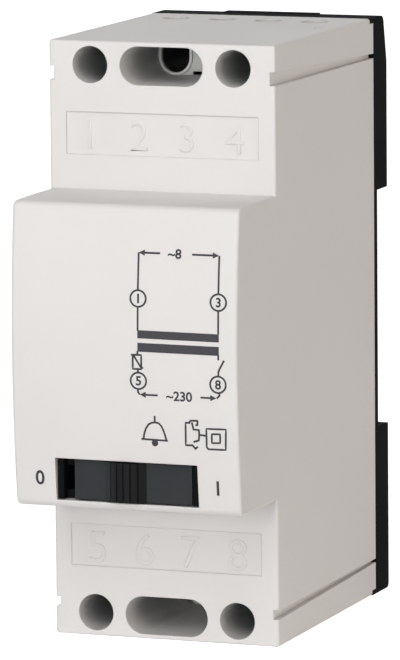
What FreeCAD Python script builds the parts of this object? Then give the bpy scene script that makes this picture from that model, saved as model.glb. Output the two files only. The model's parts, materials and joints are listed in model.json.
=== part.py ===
import FreeCAD, Part
import math
import os

import Sketcher
from FreeCAD import Placement, Rotation, Vector

# Doorbell transformer, two modules wide, for a 35 mm mounting rail.
# X runs across the module, Y goes from the front face back to the rail, Z is up.
# The origin is the centre of the rail seat, the flat that lies on the rail's face.

doc = FreeCAD.newDocument("doorbell_transformer")

# Every driving size, in millimetres
driving_sizes = {
    # outline of the case
    "case_width": 35.4,
    "case_height": 89.0,
    "nose_height": 45.0,
    "nose_reach": 15.0,  # from the shoulder face to the nose's upper and lower front edges
    "nose_crown": 1.4,  # how far the nose's face bows out between those edges
    "nose_edge_radius": 1.2,
    "nose_side_radius": 0.5,
    "outer_edge_radius": 0.4,
    "nose_taper": 0.15,  # what each side of the nose draws in at its front
    "nose_taper_length": 6.0,
    "shoulder_reach": 45.2,  # from the rail seat to the shoulder face
    "hood_gap": 1.5,  # from the rail seat to the hood's rear edge
    "end_wall_gap": 3.1,  # from the rail seat to the rear edges of the hood's end walls
    "lip_thickness": 0.8,  # of the base's lips, which lie over those edges
    "back_reach": 4.65,  # from the rail seat back to the base's rear face
    "rail_width": 35.0,
    "rail_play_above": 0.5,  # room beyond the rail's edges in its groove
    "rail_play_below": 1.2,
    "back_taper_height": 5.8,
    "back_taper": 1.2,
    "back_round": 1.3,
    "foot_round": 0.8,
    # walls of the hood
    "side_wall": 1.8,
    "end_wall": 1.2,
    "shoulder_wall": 1.8,
    "face_wall": 1.5,
    # terminals
    "terminal_margin": 2.75,  # from each side of the case to the outer terminal's share
    "screw_row_inset": 3.55,  # from the end face to the screw axes
    "access_radius": 2.75,
    "slot_bridge": 1.95,  # between the long slot and the round holes
    "slot_half_height": 2.85,
    "shaft_wall": 1.3,
    "upper_carrier_reach": 29.2,  # from the rail seat to the carriers' faces
    "lower_carrier_reach": 21.7,
    "wire_reach": 9.6,  # from the rail seat to the wire entries
    "wire_entry_radius": 2.1,
    "mark_inset_x": 2.8,
    "mark_reach": 18.5,
    "mark_radius": 0.8,
    # recessed number fields on the shoulders
    "field_inset": 2.65,
    "field_near": 0.234,  # shares of the shoulder's height
    "field_far": 0.52,
    "field_recess": 0.2,
    # grooves along the sides, near both ends
    "groove_cut": 0.8,
    "upper_groove_front": 3.9,
    "upper_groove_front_height": 2.0,
    "upper_groove_back": 5.45,
    "upper_groove_back_height": 0.7,
    "lower_groove_front": 4.15,
    "lower_groove_front_height": 1.45,
    "lower_groove_back": 4.95,
    "lower_groove_back_height": 0.55,
    # switch window and switch
    "window_inset": 6.6,  # from each side of the case
    "window_height": 6.3,
    "window_rise": 4.3,  # centre of the window above the nose's lower face
    "switch_clearance": 0.15,
    "switch_setback": 0.1,  # from the nose's front edge line back to the slider's pads
    "switch_post": 0.85,
    "switch_depth": 11.8,
    "switch_wall": 0.6,
    "switch_lip": 1.3,
    "ear_reach": 2.4,
    "ear_thickness": 1.8,
    "ear_setback": 1.65,
    "slider_pad_thickness": 1.2,
    "slider_travel": 1.6,
    "slider_end_gap": 0.15,
    "slider_play": 0.2,
    "slider_grip_width": 6.4,
    "slider_grip_rise": 1.3,
    "slider_grip_centre": 1.1,  # grip centre left of the slider's own centre
    "slider_stem_share": 0.575,  # of the slider's own length
    "rib_count": 5.0,
    "rib_cut": 0.28,
    "contact_thickness": 0.4,
    "contact_width": 3.0,
    "contact_gap": 1.6,
    "contact_bridge_gap": 0.1,
    "board_thickness": 1.0,
    "tail_length": 2.0,
    # core and windings
    "core_end_room": 20.5,  # above and below the core, for the terminals
    "core_stack_inset": 9.5,  # from each side of the case
    "core_back_gap": 3.0,  # from the rail seat to the core's rear face
    "core_front_gap": 0.4,
    "core_hole_radius": 1.7,
    "bobbin_clearance": 0.15,
    "bobbin_wall": 0.8,
    "bobbin_flange": 0.9,
    "bobbin_side_play": 0.3,
    "bobbin_corner": 2.0,
    "bobbin_end_play": 0.2,
    "primary_share": 0.545,  # of the length for both windings
    "winding_inset": 0.6,
    "winding_corner": 4.0,
    "tape_thickness": 0.15,
    "pin_radius": 0.5,
    "pin_length": 3.7,
    "pin_inset_x": 2.6,
    "pin_inset_z": 3.8,
    # terminal carriers, clamps, screws and tabs
    "carrier_play": 0.3,
    "carrier_end_play": 0.2,
    "carrier_height": 7.4,
    "carrier_gap": 0.6,  # between a shaft's inner end and the carrier's face
    "carrier_back": 3.2,
    "screw_channel_radius": 3.1,
    "probe_channel_radius": 2.25,  # at the positions behind the long slot
    "probe_channel_drop": 0.3,  # of those channels' centres, towards the core
    "screw_rim_wall": 0.4,
    "screw_rim_height": 0.4,
    "slit_height": 0.5,  # under the carrier's face, between those channels
    "slit_depth": 4.0,
    "well_depth": 6.0,
    "pillar_radius": 2.9,
    "pillar_drop": 1.3,
    "clamp_spacing": 1.3,  # between neighbouring clamps
    "clamp_height": 4.9,
    "clamp_front_wall": 1.6,
    "clamp_wall": 0.9,
    "clamp_opening": 5.1,
    "clamp_play": 0.1,
    "screw_radius": 1.5,
    "screw_head_radius": 2.1,
    "screw_head_height": 2.0,
    "screw_head_gap": 5.0,  # from the clamp's front wall to the screw head
    "screw_tip_gap": 1.2,  # from the screw's tip to the tab
    "screw_slot_width": 0.7,
    "screw_slot_depth": 1.0,
    "tab_side_play": 0.3,
    "tab_thickness": 0.6,
    "tab_tail": 4.8,
    "tab_notch": 0.6,
    # thermistor and leads
    "disc_radius": 4.0,
    "disc_thickness": 3.5,
    "disc_inset": 3.4,
    "disc_leg_spread": 2.5,
    "disc_leg_radius": 0.35,
    "disc_leg_end": 1.15,  # from the legs' ends to the leads' level runs
    "lead_radius": 0.65,
    "lead_bend": 1.6,
    "lead_drop": 2.4,  # from the tabs' ends to the leads' level runs
    # rail base and latches
    "plug_depth": 1.0,
    "plug_play": 0.15,
    "latch_inset": 10.0,  # from each side of the case to the latch channels
    "latch_step": 1.5,
    "channel_floor": 0.8,
    "channel_depth": 2.6,
    "latch_play": 0.2,
    "hook_clearance": 1.3,  # room for the rail's flange
    "hook_grip": 1.3,  # how far each hook reaches behind the rail's edge
    "hook_lead": 2.1,
    "latch_travel": 2.5,
    "latch_end_gap": 0.2,
    "latch_slot_half_width": 1.6,
    "latch_slot_start": 8.3,  # from the groove's edge
    "post_from_end": 5.5,
    "post_height": 1.5,
    "post_half_width": 1.3,
    "tool_slot_inset": 3.0,
    "tool_slot_height": 1.4,
    "tool_slot_from_end": 2.0,
    "cavity_inset": 3.7,
    "cavity_half_width": 2.4,
    "cavity_margin": 2.8,
    "cavity_floor": 1.5,
    "seat_recess_play": 0.3,
    "seat_recess_depth": 1.2,
    # latch springs
    "spring_wire_radius": 0.2,
    "spring_radius": 0.9,
    "spring_turns": 6.0,
    "spring_end_gap": 0.05,
}

sheet = doc.addObject("Spreadsheet::Sheet", "sizes")
for row, (alias, value) in enumerate(driving_sizes.items(), start=1):
    sheet.set(f"A{row}", str(value))
    sheet.setAlias(f"A{row}", alias)
doc.recompute()


class Size:
    # A length that carries its formula, in terms of the sheet, and its present value
    def __init__(self, text, value):
        self.text = text
        self.value = value

    def __add__(self, other):
        other = as_size(other)
        return Size(f"({self.text} + {other.text})", self.value + other.value)

    def __sub__(self, other):
        other = as_size(other)
        return Size(f"({self.text} - {other.text})", self.value - other.value)

    def __mul__(self, factor):
        factor = as_size(factor)
        return Size(f"({self.text} * {factor.text})", self.value * factor.value)

    __radd__ = __add__
    __rmul__ = __mul__

    def __truediv__(self, factor):
        factor = as_size(factor)
        return Size(f"({self.text} / {factor.text})", self.value / factor.value)

    def __neg__(self):
        return Size(f"(0 - {self.text})", -self.value)


def as_size(value):
    return value if isinstance(value, Size) else Size(repr(float(value)), float(value))


class Sizes:
    def __getattr__(self, alias):
        return Size(f"sizes.{alias}", float(sheet.get(alias)))


sizes = Sizes()


# Sketch and feature helpers

def new_body(label):
    body = doc.addObject("PartDesign::Body", label)
    body.Label = label
    return body


def sketch_on(body, name, plane, offset=0.0):
    sketch = body.newObject("Sketcher::SketchObject", name)
    for feature in body.Origin.OriginFeatures:
        if feature.Role == plane:
            sketch.AttachmentSupport = [(feature, "")]
    sketch.MapMode = "FlatFace"
    sketch.setExpression("AttachmentOffset.Base.z", as_size(offset).text)
    return sketch


def hold(sketch, kind, geometry, point, length):
    # Fixes one coordinate of a point, measured from the sketch's origin
    constraint = Sketcher.Constraint(kind, -1, 1, geometry, point, length.value)
    index = sketch.addConstraint(constraint)
    sketch.setExpression(f"Constraints[{index}]", length.text)


def arc_between(start, end, centre):
    # The shorter arc between two points; tells whether its own ends are the other way round
    first = math.atan2(start.y - centre.y, start.x - centre.x)
    last = math.atan2(end.y - centre.y, end.x - centre.x)
    turned = (last - first) % (2 * math.pi) > math.pi + 1e-6
    if turned:
        first, last = last, first
    circle = Part.Circle(centre, Vector(0, 0, 1), start.distanceToPoint(centre))
    return Part.ArcOfCircle(circle, first, last), turned


def outline(sketch, corners, arcs=None):
    # A closed outline through the corners; arcs gives the centre of each edge that is round,
    # by the number of the corner where the edge starts, and whether it is a hollow one
    arcs = arcs or {}
    corners = [(as_size(x), as_size(y)) for x, y in corners]
    points = [Vector(x.value, y.value, 0) for x, y in corners]
    edges = []
    for i, start in enumerate(points):
        end = points[(i + 1) % len(points)]
        if i in arcs:
            centre = Vector(as_size(arcs[i][0]).value, as_size(arcs[i][1]).value, 0)
            shape, turned = arc_between(start, end, centre)
            if len(arcs[i]) == 3:
                shape = Part.ArcOfCircle(shape.Circle, *half_turn(start, end, centre, arcs[i][2]))
                turned = arcs[i][2] == "clockwise"
        else:
            shape, turned = Part.LineSegment(start, end), False
        edges.append((sketch.addGeometry(shape), turned))
    for i, (edge, turned) in enumerate(edges):
        follower, follower_turned = edges[(i + 1) % len(edges)]
        ends = (1 if turned else 2, 2 if follower_turned else 1)
        sketch.addConstraint(Sketcher.Constraint("Coincident", edge, ends[0], follower, ends[1]))
        first_point = 2 if turned else 1
        hold(sketch, "DistanceX", edge, first_point, corners[i][0])
        hold(sketch, "DistanceY", edge, first_point, corners[i][1])
        if i in arcs:
            chord = points[(i + 1) % len(points)] - points[i]
            upright = abs(chord.x) < abs(chord.y)
            kind = "DistanceX" if upright else "DistanceY"
            hold(sketch, kind, edge, 3, as_size(arcs[i][0 if upright else 1]))


def half_turn(start, end, centre, way):
    # Angles of a half circle, which has no shorter side to choose
    first = math.atan2(start.y - centre.y, start.x - centre.x)
    last = math.atan2(end.y - centre.y, end.x - centre.x)
    return (last, first) if way == "clockwise" else (first, last)


def rectangle(sketch, left, right, low, high):
    outline(sketch, [(left, low), (right, low), (right, high), (left, high)])


def rounded_rectangle(sketch, half_width, half_height, radius):
    x, y, r = as_size(half_width), as_size(half_height), as_size(radius)
    corners = [
        (r - x, -y), (x - r, -y), (x, r - y), (x, y - r),
        (x - r, y), (r - x, y), (-x, y - r), (-x, r - y),
    ]
    centres = {1: (x - r, r - y), 3: (x - r, y - r), 5: (r - x, y - r), 7: (r - x, r - y)}
    outline(sketch, corners, centres)


def long_slot(sketch, half_length, half_height, x, y):
    # A level slot with round ends
    run = half_length - half_height
    low, high = y - half_height, y + half_height
    corners = [(x - run, low), (x + run, low), (x + run, high), (x - run, high)]
    ends = {1: (x + run, y, "anticlockwise"), 3: (x - run, y, "anticlockwise")}
    outline(sketch, corners, ends)


def circle(sketch, x, y, radius):
    x, y, radius = as_size(x), as_size(y), as_size(radius)
    centre = Vector(x.value, y.value, 0)
    edge = sketch.addGeometry(Part.Circle(centre, Vector(0, 0, 1), radius.value))
    hold(sketch, "DistanceX", edge, 3, x)
    hold(sketch, "DistanceY", edge, 3, y)
    index = sketch.addConstraint(Sketcher.Constraint("Radius", edge, radius.value))
    sketch.setExpression(f"Constraints[{index}]", radius.text)


def pad(body, sketch, length, reverse=False):
    feature = body.newObject("PartDesign::Pad", sketch.Name + "_pad")
    feature.Profile = sketch
    feature.Reversed = reverse
    feature.setExpression("Length", as_size(length).text)
    sketch.Visibility = False
    doc.recompute()
    return feature


def pocket(body, sketch, length, reverse=False):
    # A cut that takes material away, or the build stops
    before = body.Shape.Volume
    feature = body.newObject("PartDesign::Pocket", sketch.Name + "_pocket")
    feature.Profile = sketch
    feature.Reversed = reverse
    feature.setExpression("Length", as_size(length).text)
    sketch.Visibility = False
    doc.recompute()
    if body.Shape.Volume > before - 1e-6:
        raise ValueError(f"{feature.Name} cuts nothing")
    return feature


def edges_where(shape, test):
    return [f"Edge{i + 1}" for i, edge in enumerate(shape.Edges) if test(edge.BoundBox)]


def fillet(body, radius, test):
    base = body.Tip
    feature = body.newObject("PartDesign::Fillet", body.Name + "_fillet")
    feature.Base = (base, edges_where(base.Shape, test))
    feature.setExpression("Radius", as_size(radius).text)
    doc.recompute()
    return feature


def close_to(a, b):
    return abs(a - b) < 0.01


# Places that several pieces share

half_width = sizes.case_width / 2
half_height = sizes.case_height / 2
nose_half = sizes.nose_height / 2
shoulder_y = -sizes.shoulder_reach
nose_edge_y = shoulder_y - sizes.nose_reach
inner_half_width = half_width - sizes.side_wall
inner_half_height = half_height - sizes.end_wall
inner_shoulder_y = shoulder_y + sizes.shoulder_wall
screw_z = half_height - sizes.screw_row_inset
wire_y = -sizes.wire_reach
terminal_pitch = (sizes.case_width - sizes.terminal_margin * 2) / 4
terminal_x = [terminal_pitch * step for step in (-1.5, -0.5, 0.5, 1.5)]
slot_half_length = terminal_x[3] - sizes.access_radius - sizes.slot_bridge
shaft_depth = {
    "upper": sizes.shoulder_reach - sizes.upper_carrier_reach - sizes.carrier_gap,
    "lower": sizes.shoulder_reach - sizes.lower_carrier_reach - sizes.carrier_gap,
}
window_z = sizes.window_rise - nose_half
window_half_x = half_width - sizes.window_inset
rail_above = sizes.rail_width / 2 + sizes.rail_play_above
rail_below = sizes.rail_width / 2 + sizes.rail_play_below
hook_tip = sizes.rail_width / 2 - sizes.hook_grip
latch_half_width = half_width - sizes.latch_inset
latch_neck_half_width = latch_half_width - sizes.latch_step
clear = as_size(1.0)  # how far a cutting sketch stands outside the solid that it cuts


def bow_centre(edge_y, half_chord, rise):
    # Centre of the arc through both ends of a bowed face
    radius = (half_chord * half_chord + rise * rise) / (rise * 2)
    return edge_y - rise + radius


# Hood: stepped outline with a bowed nose, hollow from behind

def make_front_housing():
    body = new_body("front_housing")
    rear = -sizes.hood_gap

    profile = sketch_on(body, "hood_profile", "YZ_Plane", -half_width)
    corners = [
        (rear, -half_height), (rear, half_height),
        (shoulder_y, half_height), (shoulder_y, nose_half),
        (nose_edge_y, nose_half), (nose_edge_y, -nose_half),
        (shoulder_y, -nose_half), (shoulder_y, -half_height),
    ]
    face = bow_centre(nose_edge_y, nose_half, sizes.nose_crown)
    outline(profile, corners, {4: (face, 0)})
    pad(body, profile, sizes.case_width)

    def on_outer_edge(box):
        flank = close_to(box.XMin, box.XMax) and close_to(abs(box.XMin), half_width.value)
        end = close_to(box.ZMin, box.ZMax) and close_to(abs(box.ZMin), half_height.value)
        shoulder = close_to(box.YMin, box.YMax) and close_to(box.YMin, shoulder_y.value)
        return flank and (end or shoulder) or end and shoulder

    fillet(body, sizes.outer_edge_radius, on_outer_edge)

    front_edges = (-(half_width + clear), half_width + clear)
    fillet(body, sizes.nose_edge_radius, lambda box: close_to(box.YMin, nose_edge_y.value)
           and close_to(box.YMax, nose_edge_y.value) and close_to(abs(box.ZMin), nose_half.value))

    # The nose draws in a little towards its front
    taper = sketch_on(body, "hood_taper", "XY_Plane", nose_half + clear)
    start_y = nose_edge_y + sizes.nose_taper_length
    tip_y = nose_edge_y - sizes.nose_crown - clear
    run = sizes.nose_taper_length + sizes.nose_crown + clear
    tip_x = half_width - sizes.nose_taper * run / (sizes.nose_taper_length + sizes.nose_crown)
    outline(taper, [(half_width, start_y), (front_edges[1], start_y),
                    (front_edges[1], tip_y), (tip_x, tip_y)])
    outline(taper, [(-half_width, start_y), (-tip_x, tip_y),
                    (front_edges[0], tip_y), (front_edges[0], start_y)])
    pocket(body, taper, sizes.nose_height + 2 * clear)
    fillet(body, sizes.nose_side_radius, lambda box: box.YMax < nose_edge_y.value + 0.5
           and box.ZLength > sizes.nose_height.value / 2 and abs(box.XMin) > half_width.value / 2)

    hollow = sketch_on(body, "hood_hollow", "YZ_Plane", inner_half_width)
    inner_nose_half = nose_half - sizes.end_wall
    inner_face_y = nose_edge_y + sizes.face_wall
    inner_corners = [
        (rear + clear, -inner_half_height), (rear + clear, inner_half_height),
        (inner_shoulder_y, inner_half_height), (inner_shoulder_y, inner_nose_half),
        (inner_face_y, inner_nose_half), (inner_face_y, -inner_nose_half),
        (inner_shoulder_y, -inner_nose_half), (inner_shoulder_y, -inner_half_height),
    ]
    inner_face = bow_centre(inner_face_y, inner_nose_half, sizes.nose_crown)
    outline(hollow, inner_corners, {4: (inner_face, 0)})
    pocket(body, hollow, inner_half_width * 2)

    # Screwdriver shafts, one block at each end, behind the shoulders
    for end, side in (("upper", 1), ("lower", -1)):
        depth = shaft_depth[end]
        row = screw_z * side
        block = sketch_on(body, f"{end}_shaft_block", "XZ_Plane", -(shoulder_y + depth))
        inner_edge = (screw_z - sizes.slot_half_height - sizes.shaft_wall) * side
        outer_edge = (inner_half_height + sizes.end_wall / 2) * side
        rectangle(block, -(inner_half_width + sizes.side_wall / 2),
                  inner_half_width + sizes.side_wall / 2, inner_edge, outer_edge)
        pad(body, block, depth - sizes.shoulder_wall / 2)

        shafts = sketch_on(body, f"{end}_shafts", "XZ_Plane", -(shoulder_y - clear))
        circle(shafts, terminal_x[0], row, sizes.access_radius)
        circle(shafts, terminal_x[3], row, sizes.access_radius)
        long_slot(shafts, slot_half_length, sizes.slot_half_height, as_size(0), row)
        pocket(body, shafts, depth + 2 * clear)

        field = sketch_on(body, f"{end}_field", "XZ_Plane", -(shoulder_y - clear))
        shoulder_height = half_height - nose_half
        near = (nose_half + shoulder_height * sizes.field_near) * side
        far = (nose_half + shoulder_height * sizes.field_far) * side
        field_half_width = half_width - sizes.field_inset
        rectangle(field, -field_half_width, field_half_width, near, far)
        pocket(body, field, sizes.field_recess + clear)

        # Wire entries through the end wall
        entries = sketch_on(body, f"{end}_wire_entries", "XY_Plane", (half_height + clear) * side)
        for x in terminal_x:
            circle(entries, x, wire_y, sizes.wire_entry_radius)
        pocket(body, entries, sizes.end_wall + 2 * clear, reverse=side < 0)

    mark = sketch_on(body, "moulding_mark", "XY_Plane", half_height + clear)
    circle(mark, half_width - sizes.mark_inset_x, -sizes.mark_reach, sizes.mark_radius)
    pocket(body, mark, sizes.end_wall / 2 + clear)

    window = sketch_on(body, "switch_window", "XZ_Plane", -(nose_edge_y - sizes.nose_crown - clear))
    half_window = sizes.window_height / 2
    rectangle(window, -window_half_x, window_half_x,
              window_z - half_window, window_z + half_window)
    pocket(body, window, sizes.nose_crown + sizes.face_wall + 2 * clear)

    # The end walls stop short behind, where the base's lips lie over them
    for end, side in (("upper", 1), ("lower", -1)):
        rebate = sketch_on(body, f"{end}_rebate", "YZ_Plane", half_width + clear)
        rectangle(rebate, -sizes.end_wall_gap, rear + clear,
                  (half_height - sizes.lip_thickness) * side, (half_height + clear) * side)
        pocket(body, rebate, sizes.case_width + 2 * clear)

    # Tapering grooves along both sides
    for end, side in (("upper", 1), ("lower", -1)):
        front = (half_height - getattr(sizes, f"{end}_groove_front")) * side
        back = (half_height - getattr(sizes, f"{end}_groove_back")) * side
        front_inner = front - getattr(sizes, f"{end}_groove_front_height") * side
        back_inner = back - getattr(sizes, f"{end}_groove_back_height") * side
        ends = [(shoulder_y, front), (rear, back), (rear, back_inner), (shoulder_y, front_inner)]
        for flank, sign in (("right", 1), ("left", -1)):
            groove = sketch_on(body, f"{end}_{flank}_groove", "YZ_Plane", half_width * sign)
            outline(groove, ends)
            pocket(body, groove, sizes.groove_cut, reverse=sign < 0)
    return body


# Rail base: closes the hood from behind and grips the rail

def make_rail_base():
    body = new_body("rail_base")
    front = -sizes.hood_gap
    back = sizes.back_reach

    profile = sketch_on(body, "base_profile", "YZ_Plane", -half_width)
    top_back = back - sizes.back_taper
    taper_low = half_height - sizes.back_round - sizes.back_taper_height
    foot = sizes.foot_round
    corners = [
        (front, -half_height), (back - foot, -half_height), (back, foot - half_height),
        (back, -rail_below), (0, -rail_below), (0, rail_above),
        (back, rail_above), (back, taper_low), (top_back, half_height - sizes.back_round),
        (top_back - sizes.back_round, half_height), (front, half_height),
    ]
    rounds = {
        1: (back - foot, foot - half_height),
        8: (top_back - sizes.back_round, half_height - sizes.back_round),
    }
    outline(profile, corners, rounds)
    pad(body, profile, sizes.case_width)

    # Lips that lie in the rebates of the hood's end walls
    lips = sketch_on(body, "base_lips", "XZ_Plane", sizes.hood_gap)
    for side in (-1, 1):
        rectangle(lips, -half_width, half_width,
                  (half_height - sizes.lip_thickness) * side, half_height * side)
    pad(body, lips, sizes.end_wall_gap - sizes.hood_gap)

    plug = sketch_on(body, "base_plug", "XZ_Plane", sizes.hood_gap)
    plug_x = inner_half_width - sizes.plug_play
    plug_z = inner_half_height - sizes.plug_play
    rectangle(plug, -plug_x, plug_x, -plug_z, plug_z)
    pad(body, plug, sizes.plug_depth)

    # Hollows that keep the moulding thin, left and right of each latch
    inner_y = sizes.hood_gap + sizes.plug_depth
    hollows = sketch_on(body, "base_hollows", "XZ_Plane", inner_y + clear)
    hollow_x = half_width - sizes.cavity_inset - sizes.cavity_half_width
    for sign in (-1, 1):
        left = hollow_x * sign - sizes.cavity_half_width
        right = hollow_x * sign + sizes.cavity_half_width
        rectangle(hollows, left, right, rail_above + sizes.cavity_margin,
                  plug_z - sizes.cavity_margin / 2)
        rectangle(hollows, left, right, sizes.cavity_margin / 2 - plug_z,
                  -(rail_below + sizes.cavity_margin))
    pocket(body, hollows, clear + inner_y + back - sizes.back_taper - sizes.cavity_floor)

    # A latch slides in each channel, held by the narrower neck behind it
    floor = sizes.channel_floor
    neck = floor + sizes.channel_depth
    wide, narrow = latch_half_width, latch_neck_half_width
    section = [
        (-wide, floor), (wide, floor), (wide, neck), (narrow, neck),
        (narrow, back + clear), (-narrow, back + clear), (-narrow, neck), (-wide, neck),
    ]
    runs = (("upper", half_height + clear, half_height - rail_above + clear * 1.5),
            ("lower", clear / 2 - rail_below, half_height - rail_below + clear * 1.5))
    for end, start, length in runs:
        channel = sketch_on(body, f"{end}_channel", "XY_Plane", start)
        outline(channel, section)
        pocket(body, channel, length)

    # Posts that the latch springs push from
    for end, side in (("upper", 1), ("lower", -1)):
        post = sketch_on(body, f"{end}_post", "XZ_Plane", -neck)
        far = (half_height - sizes.post_from_end) * side
        near = (half_height - sizes.post_from_end - sizes.post_height) * side
        rectangle(post, -sizes.post_half_width, sizes.post_half_width, near, far)
        pad(body, post, sizes.channel_depth + floor / 2)

    # Recesses in the seat under the latch hooks
    recesses = sketch_on(body, "seat_recesses", "XZ_Plane", -(floor / 2))
    reach = latch_neck_half_width + sizes.seat_recess_play
    near = hook_tip - sizes.seat_recess_play
    rectangle(recesses, -reach, reach, near, rail_above)
    rectangle(recesses, -reach, reach, -rail_below, -near)
    pocket(body, recesses, sizes.seat_recess_depth + floor / 2, reverse=True)
    return body


# Rail latch: a slide with a hook for the rail at one end and a tool slot at the other

def make_rail_latch(end, side, groove_edge, end_z):
    body = new_body(f"{end}_rail_latch")
    play = sizes.latch_play
    floor = sizes.channel_floor + play
    neck = sizes.channel_floor + sizes.channel_depth
    front = sizes.hook_clearance
    back = sizes.back_reach - play
    tip = hook_tip * side
    neck_half = latch_neck_half_width - play
    lead_z = (hook_tip + sizes.hook_lead) * side

    hook = sketch_on(body, f"{end}_hook", "YZ_Plane", -neck_half)
    top_back = back - sizes.back_taper if side > 0 else back
    taper_z = (half_height - sizes.back_round - sizes.back_taper_height) * side
    corners = [
        (front, tip), (back - sizes.hook_lead, tip), (back, lead_z),
        (back, taper_z), (top_back - sizes.foot_round * 1.5, end_z * side), (front, end_z * side),
    ]
    outline(hook, corners)
    pad(body, hook, neck_half * 2)

    flange = sketch_on(body, f"{end}_flange", "XY_Plane", end_z * side)
    flange_half = latch_half_width - play
    rectangle(flange, -flange_half, flange_half, floor, neck - play)
    pad(body, flange, end_z - groove_edge - play, reverse=side > 0)

    # Long slot for the spring and its post
    slot_near = groove_edge + sizes.latch_slot_start
    slot_far = half_height - sizes.post_from_end + sizes.spring_end_gap * 2
    slots = sketch_on(body, f"{end}_slots", "XZ_Plane", -(back + clear))
    rectangle(slots, -sizes.latch_slot_half_width, sizes.latch_slot_half_width,
              slot_near * side, slot_far * side)
    tool_far = end_z - sizes.tool_slot_from_end
    tool_half = neck_half - sizes.tool_slot_inset
    rectangle(slots, -tool_half, tool_half,
              (tool_far - sizes.tool_slot_height) * side, tool_far * side)
    pocket(body, slots, back + 2 * clear, reverse=True)
    return body


def make_latch_spring(end, side, groove_edge):
    # Pushes from the base's post against the inner end of the latch's slot
    slot_near = groove_edge + sizes.latch_slot_start
    post_near = half_height - sizes.post_from_end - sizes.post_height
    wire = sizes.spring_wire_radius
    ends = sizes.spring_end_gap + wire
    length = post_near - slot_near - ends * 2
    helix = doc.addObject("Part::Helix", f"{end}_helix")
    helix.setExpression("Radius", sizes.spring_radius.text)
    helix.setExpression("Height", length.text)
    helix.setExpression("Pitch", (length / sizes.spring_turns).text)
    section = doc.addObject("Part::Circle", f"{end}_spring_section")
    section.setExpression("Radius", wire.text)
    section.Placement = Placement(Vector(0, 0, 0), Rotation(Vector(1, 0, 0), 90))
    section.setExpression("Placement.Base.x", sizes.spring_radius.text)
    spring = doc.addObject("Part::Sweep", f"{end}_latch_spring")
    spring.Label = f"{end}_latch_spring"
    spring.Sections = [section]
    spring.Spine = (helix, [])
    spring.Solid = True
    spring.Frenet = True
    start = slot_near + ends if side > 0 else -(post_near - ends)
    spring.setExpression("Placement.Base.y", (sizes.channel_floor + sizes.channel_depth / 2).text)
    spring.setExpression("Placement.Base.z", start.text)
    doc.recompute()
    return spring


# Core: an E stack with its yoke at the back and an I stack across the front

core_back = -sizes.core_back_gap
core_front = inner_shoulder_y + sizes.core_front_gap
core_half = half_height - sizes.core_end_room
core_leg = core_half / 3
core_stack = sizes.case_width - sizes.core_stack_inset * 2
yoke_front = core_back - core_leg
i_back = core_front + core_leg


def make_core_e():
    body = new_body("core_e_stack")
    leg = core_leg
    profile = sketch_on(body, "e_profile", "YZ_Plane", -(core_stack / 2))
    corners = [
        (core_back, -core_half), (core_back, core_half), (i_back, core_half),
        (i_back, core_half - leg), (yoke_front, core_half - leg), (yoke_front, leg),
        (i_back, leg), (i_back, -leg), (yoke_front, -leg), (yoke_front, leg - core_half),
        (i_back, leg - core_half), (i_back, -core_half),
    ]
    outline(profile, corners)
    pad(body, profile, core_stack)
    drill_core(body, "e_holes", core_back - leg / 2)
    return body


def make_core_i():
    body = new_body("core_i_stack")
    profile = sketch_on(body, "i_profile", "YZ_Plane", -(core_stack / 2))
    rectangle(profile, core_front, i_back, -core_half, core_half)
    pad(body, profile, core_stack)
    drill_core(body, "i_holes", core_front + core_leg / 2)
    return body


def drill_core(body, name, y):
    holes = sketch_on(body, name, "YZ_Plane", core_stack / 2 + clear)
    for sign in (-1, 1):
        circle(holes, y, (core_half - core_leg / 2) * sign, sizes.core_hole_radius)
    pocket(body, holes, core_stack + 2 * clear)


# Bobbin with two chambers, its windings, their tape and its pins

tube_half_x = core_stack / 2 + sizes.bobbin_clearance + sizes.bobbin_wall
tube_half_z = core_leg + sizes.bobbin_clearance + sizes.bobbin_wall
bobbin_front = i_back + sizes.bobbin_end_play
bobbin_back = yoke_front - sizes.bobbin_end_play
bobbin_half_width = inner_half_width - sizes.bobbin_side_play
bobbin_half_height = core_half - core_leg - sizes.bobbin_end_play
winding_room = bobbin_back - bobbin_front - sizes.bobbin_flange * 3
primary_front = bobbin_front + sizes.bobbin_flange
primary_back = primary_front + winding_room * sizes.primary_share
secondary_front = primary_back + sizes.bobbin_flange
secondary_back = bobbin_back - sizes.bobbin_flange
pin_x = bobbin_half_width - sizes.pin_inset_x
pin_z = bobbin_half_height - sizes.pin_inset_z


def make_bobbin():
    body = new_body("bobbin")
    hole_x = core_stack / 2 + sizes.bobbin_clearance
    hole_z = core_leg + sizes.bobbin_clearance

    tube = sketch_on(body, "bobbin_tube", "XZ_Plane", -bobbin_back)
    rectangle(tube, -tube_half_x, tube_half_x, -tube_half_z, tube_half_z)
    rectangle(tube, -hole_x, hole_x, -hole_z, hole_z)
    pad(body, tube, bobbin_back - bobbin_front)

    flange_backs = (("front", primary_front), ("middle", secondary_front), ("rear", bobbin_back))
    for name, back in flange_backs:
        flange = sketch_on(body, f"{name}_flange", "XZ_Plane", -back)
        rounded_rectangle(flange, bobbin_half_width, bobbin_half_height,
                          sizes.bobbin_corner)
        rectangle(flange, -hole_x, hole_x, -hole_z, hole_z)
        pad(body, flange, sizes.bobbin_flange)
    return body


def ring(body, name, back, length, outer, inner):
    # A rounded ring around the bobbin's tube; outer and inner are insets from the flange's edge
    sketch = sketch_on(body, name, "XZ_Plane", -back)
    rounded_rectangle(sketch, bobbin_half_width - outer, bobbin_half_height - outer,
                      sizes.winding_corner)
    if inner is None:
        rectangle(sketch, -tube_half_x, tube_half_x, -tube_half_z, tube_half_z)
    else:
        rounded_rectangle(sketch, bobbin_half_width - inner,
                          bobbin_half_height - inner, sizes.winding_corner + outer - inner)
    pad(body, sketch, length)


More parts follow.
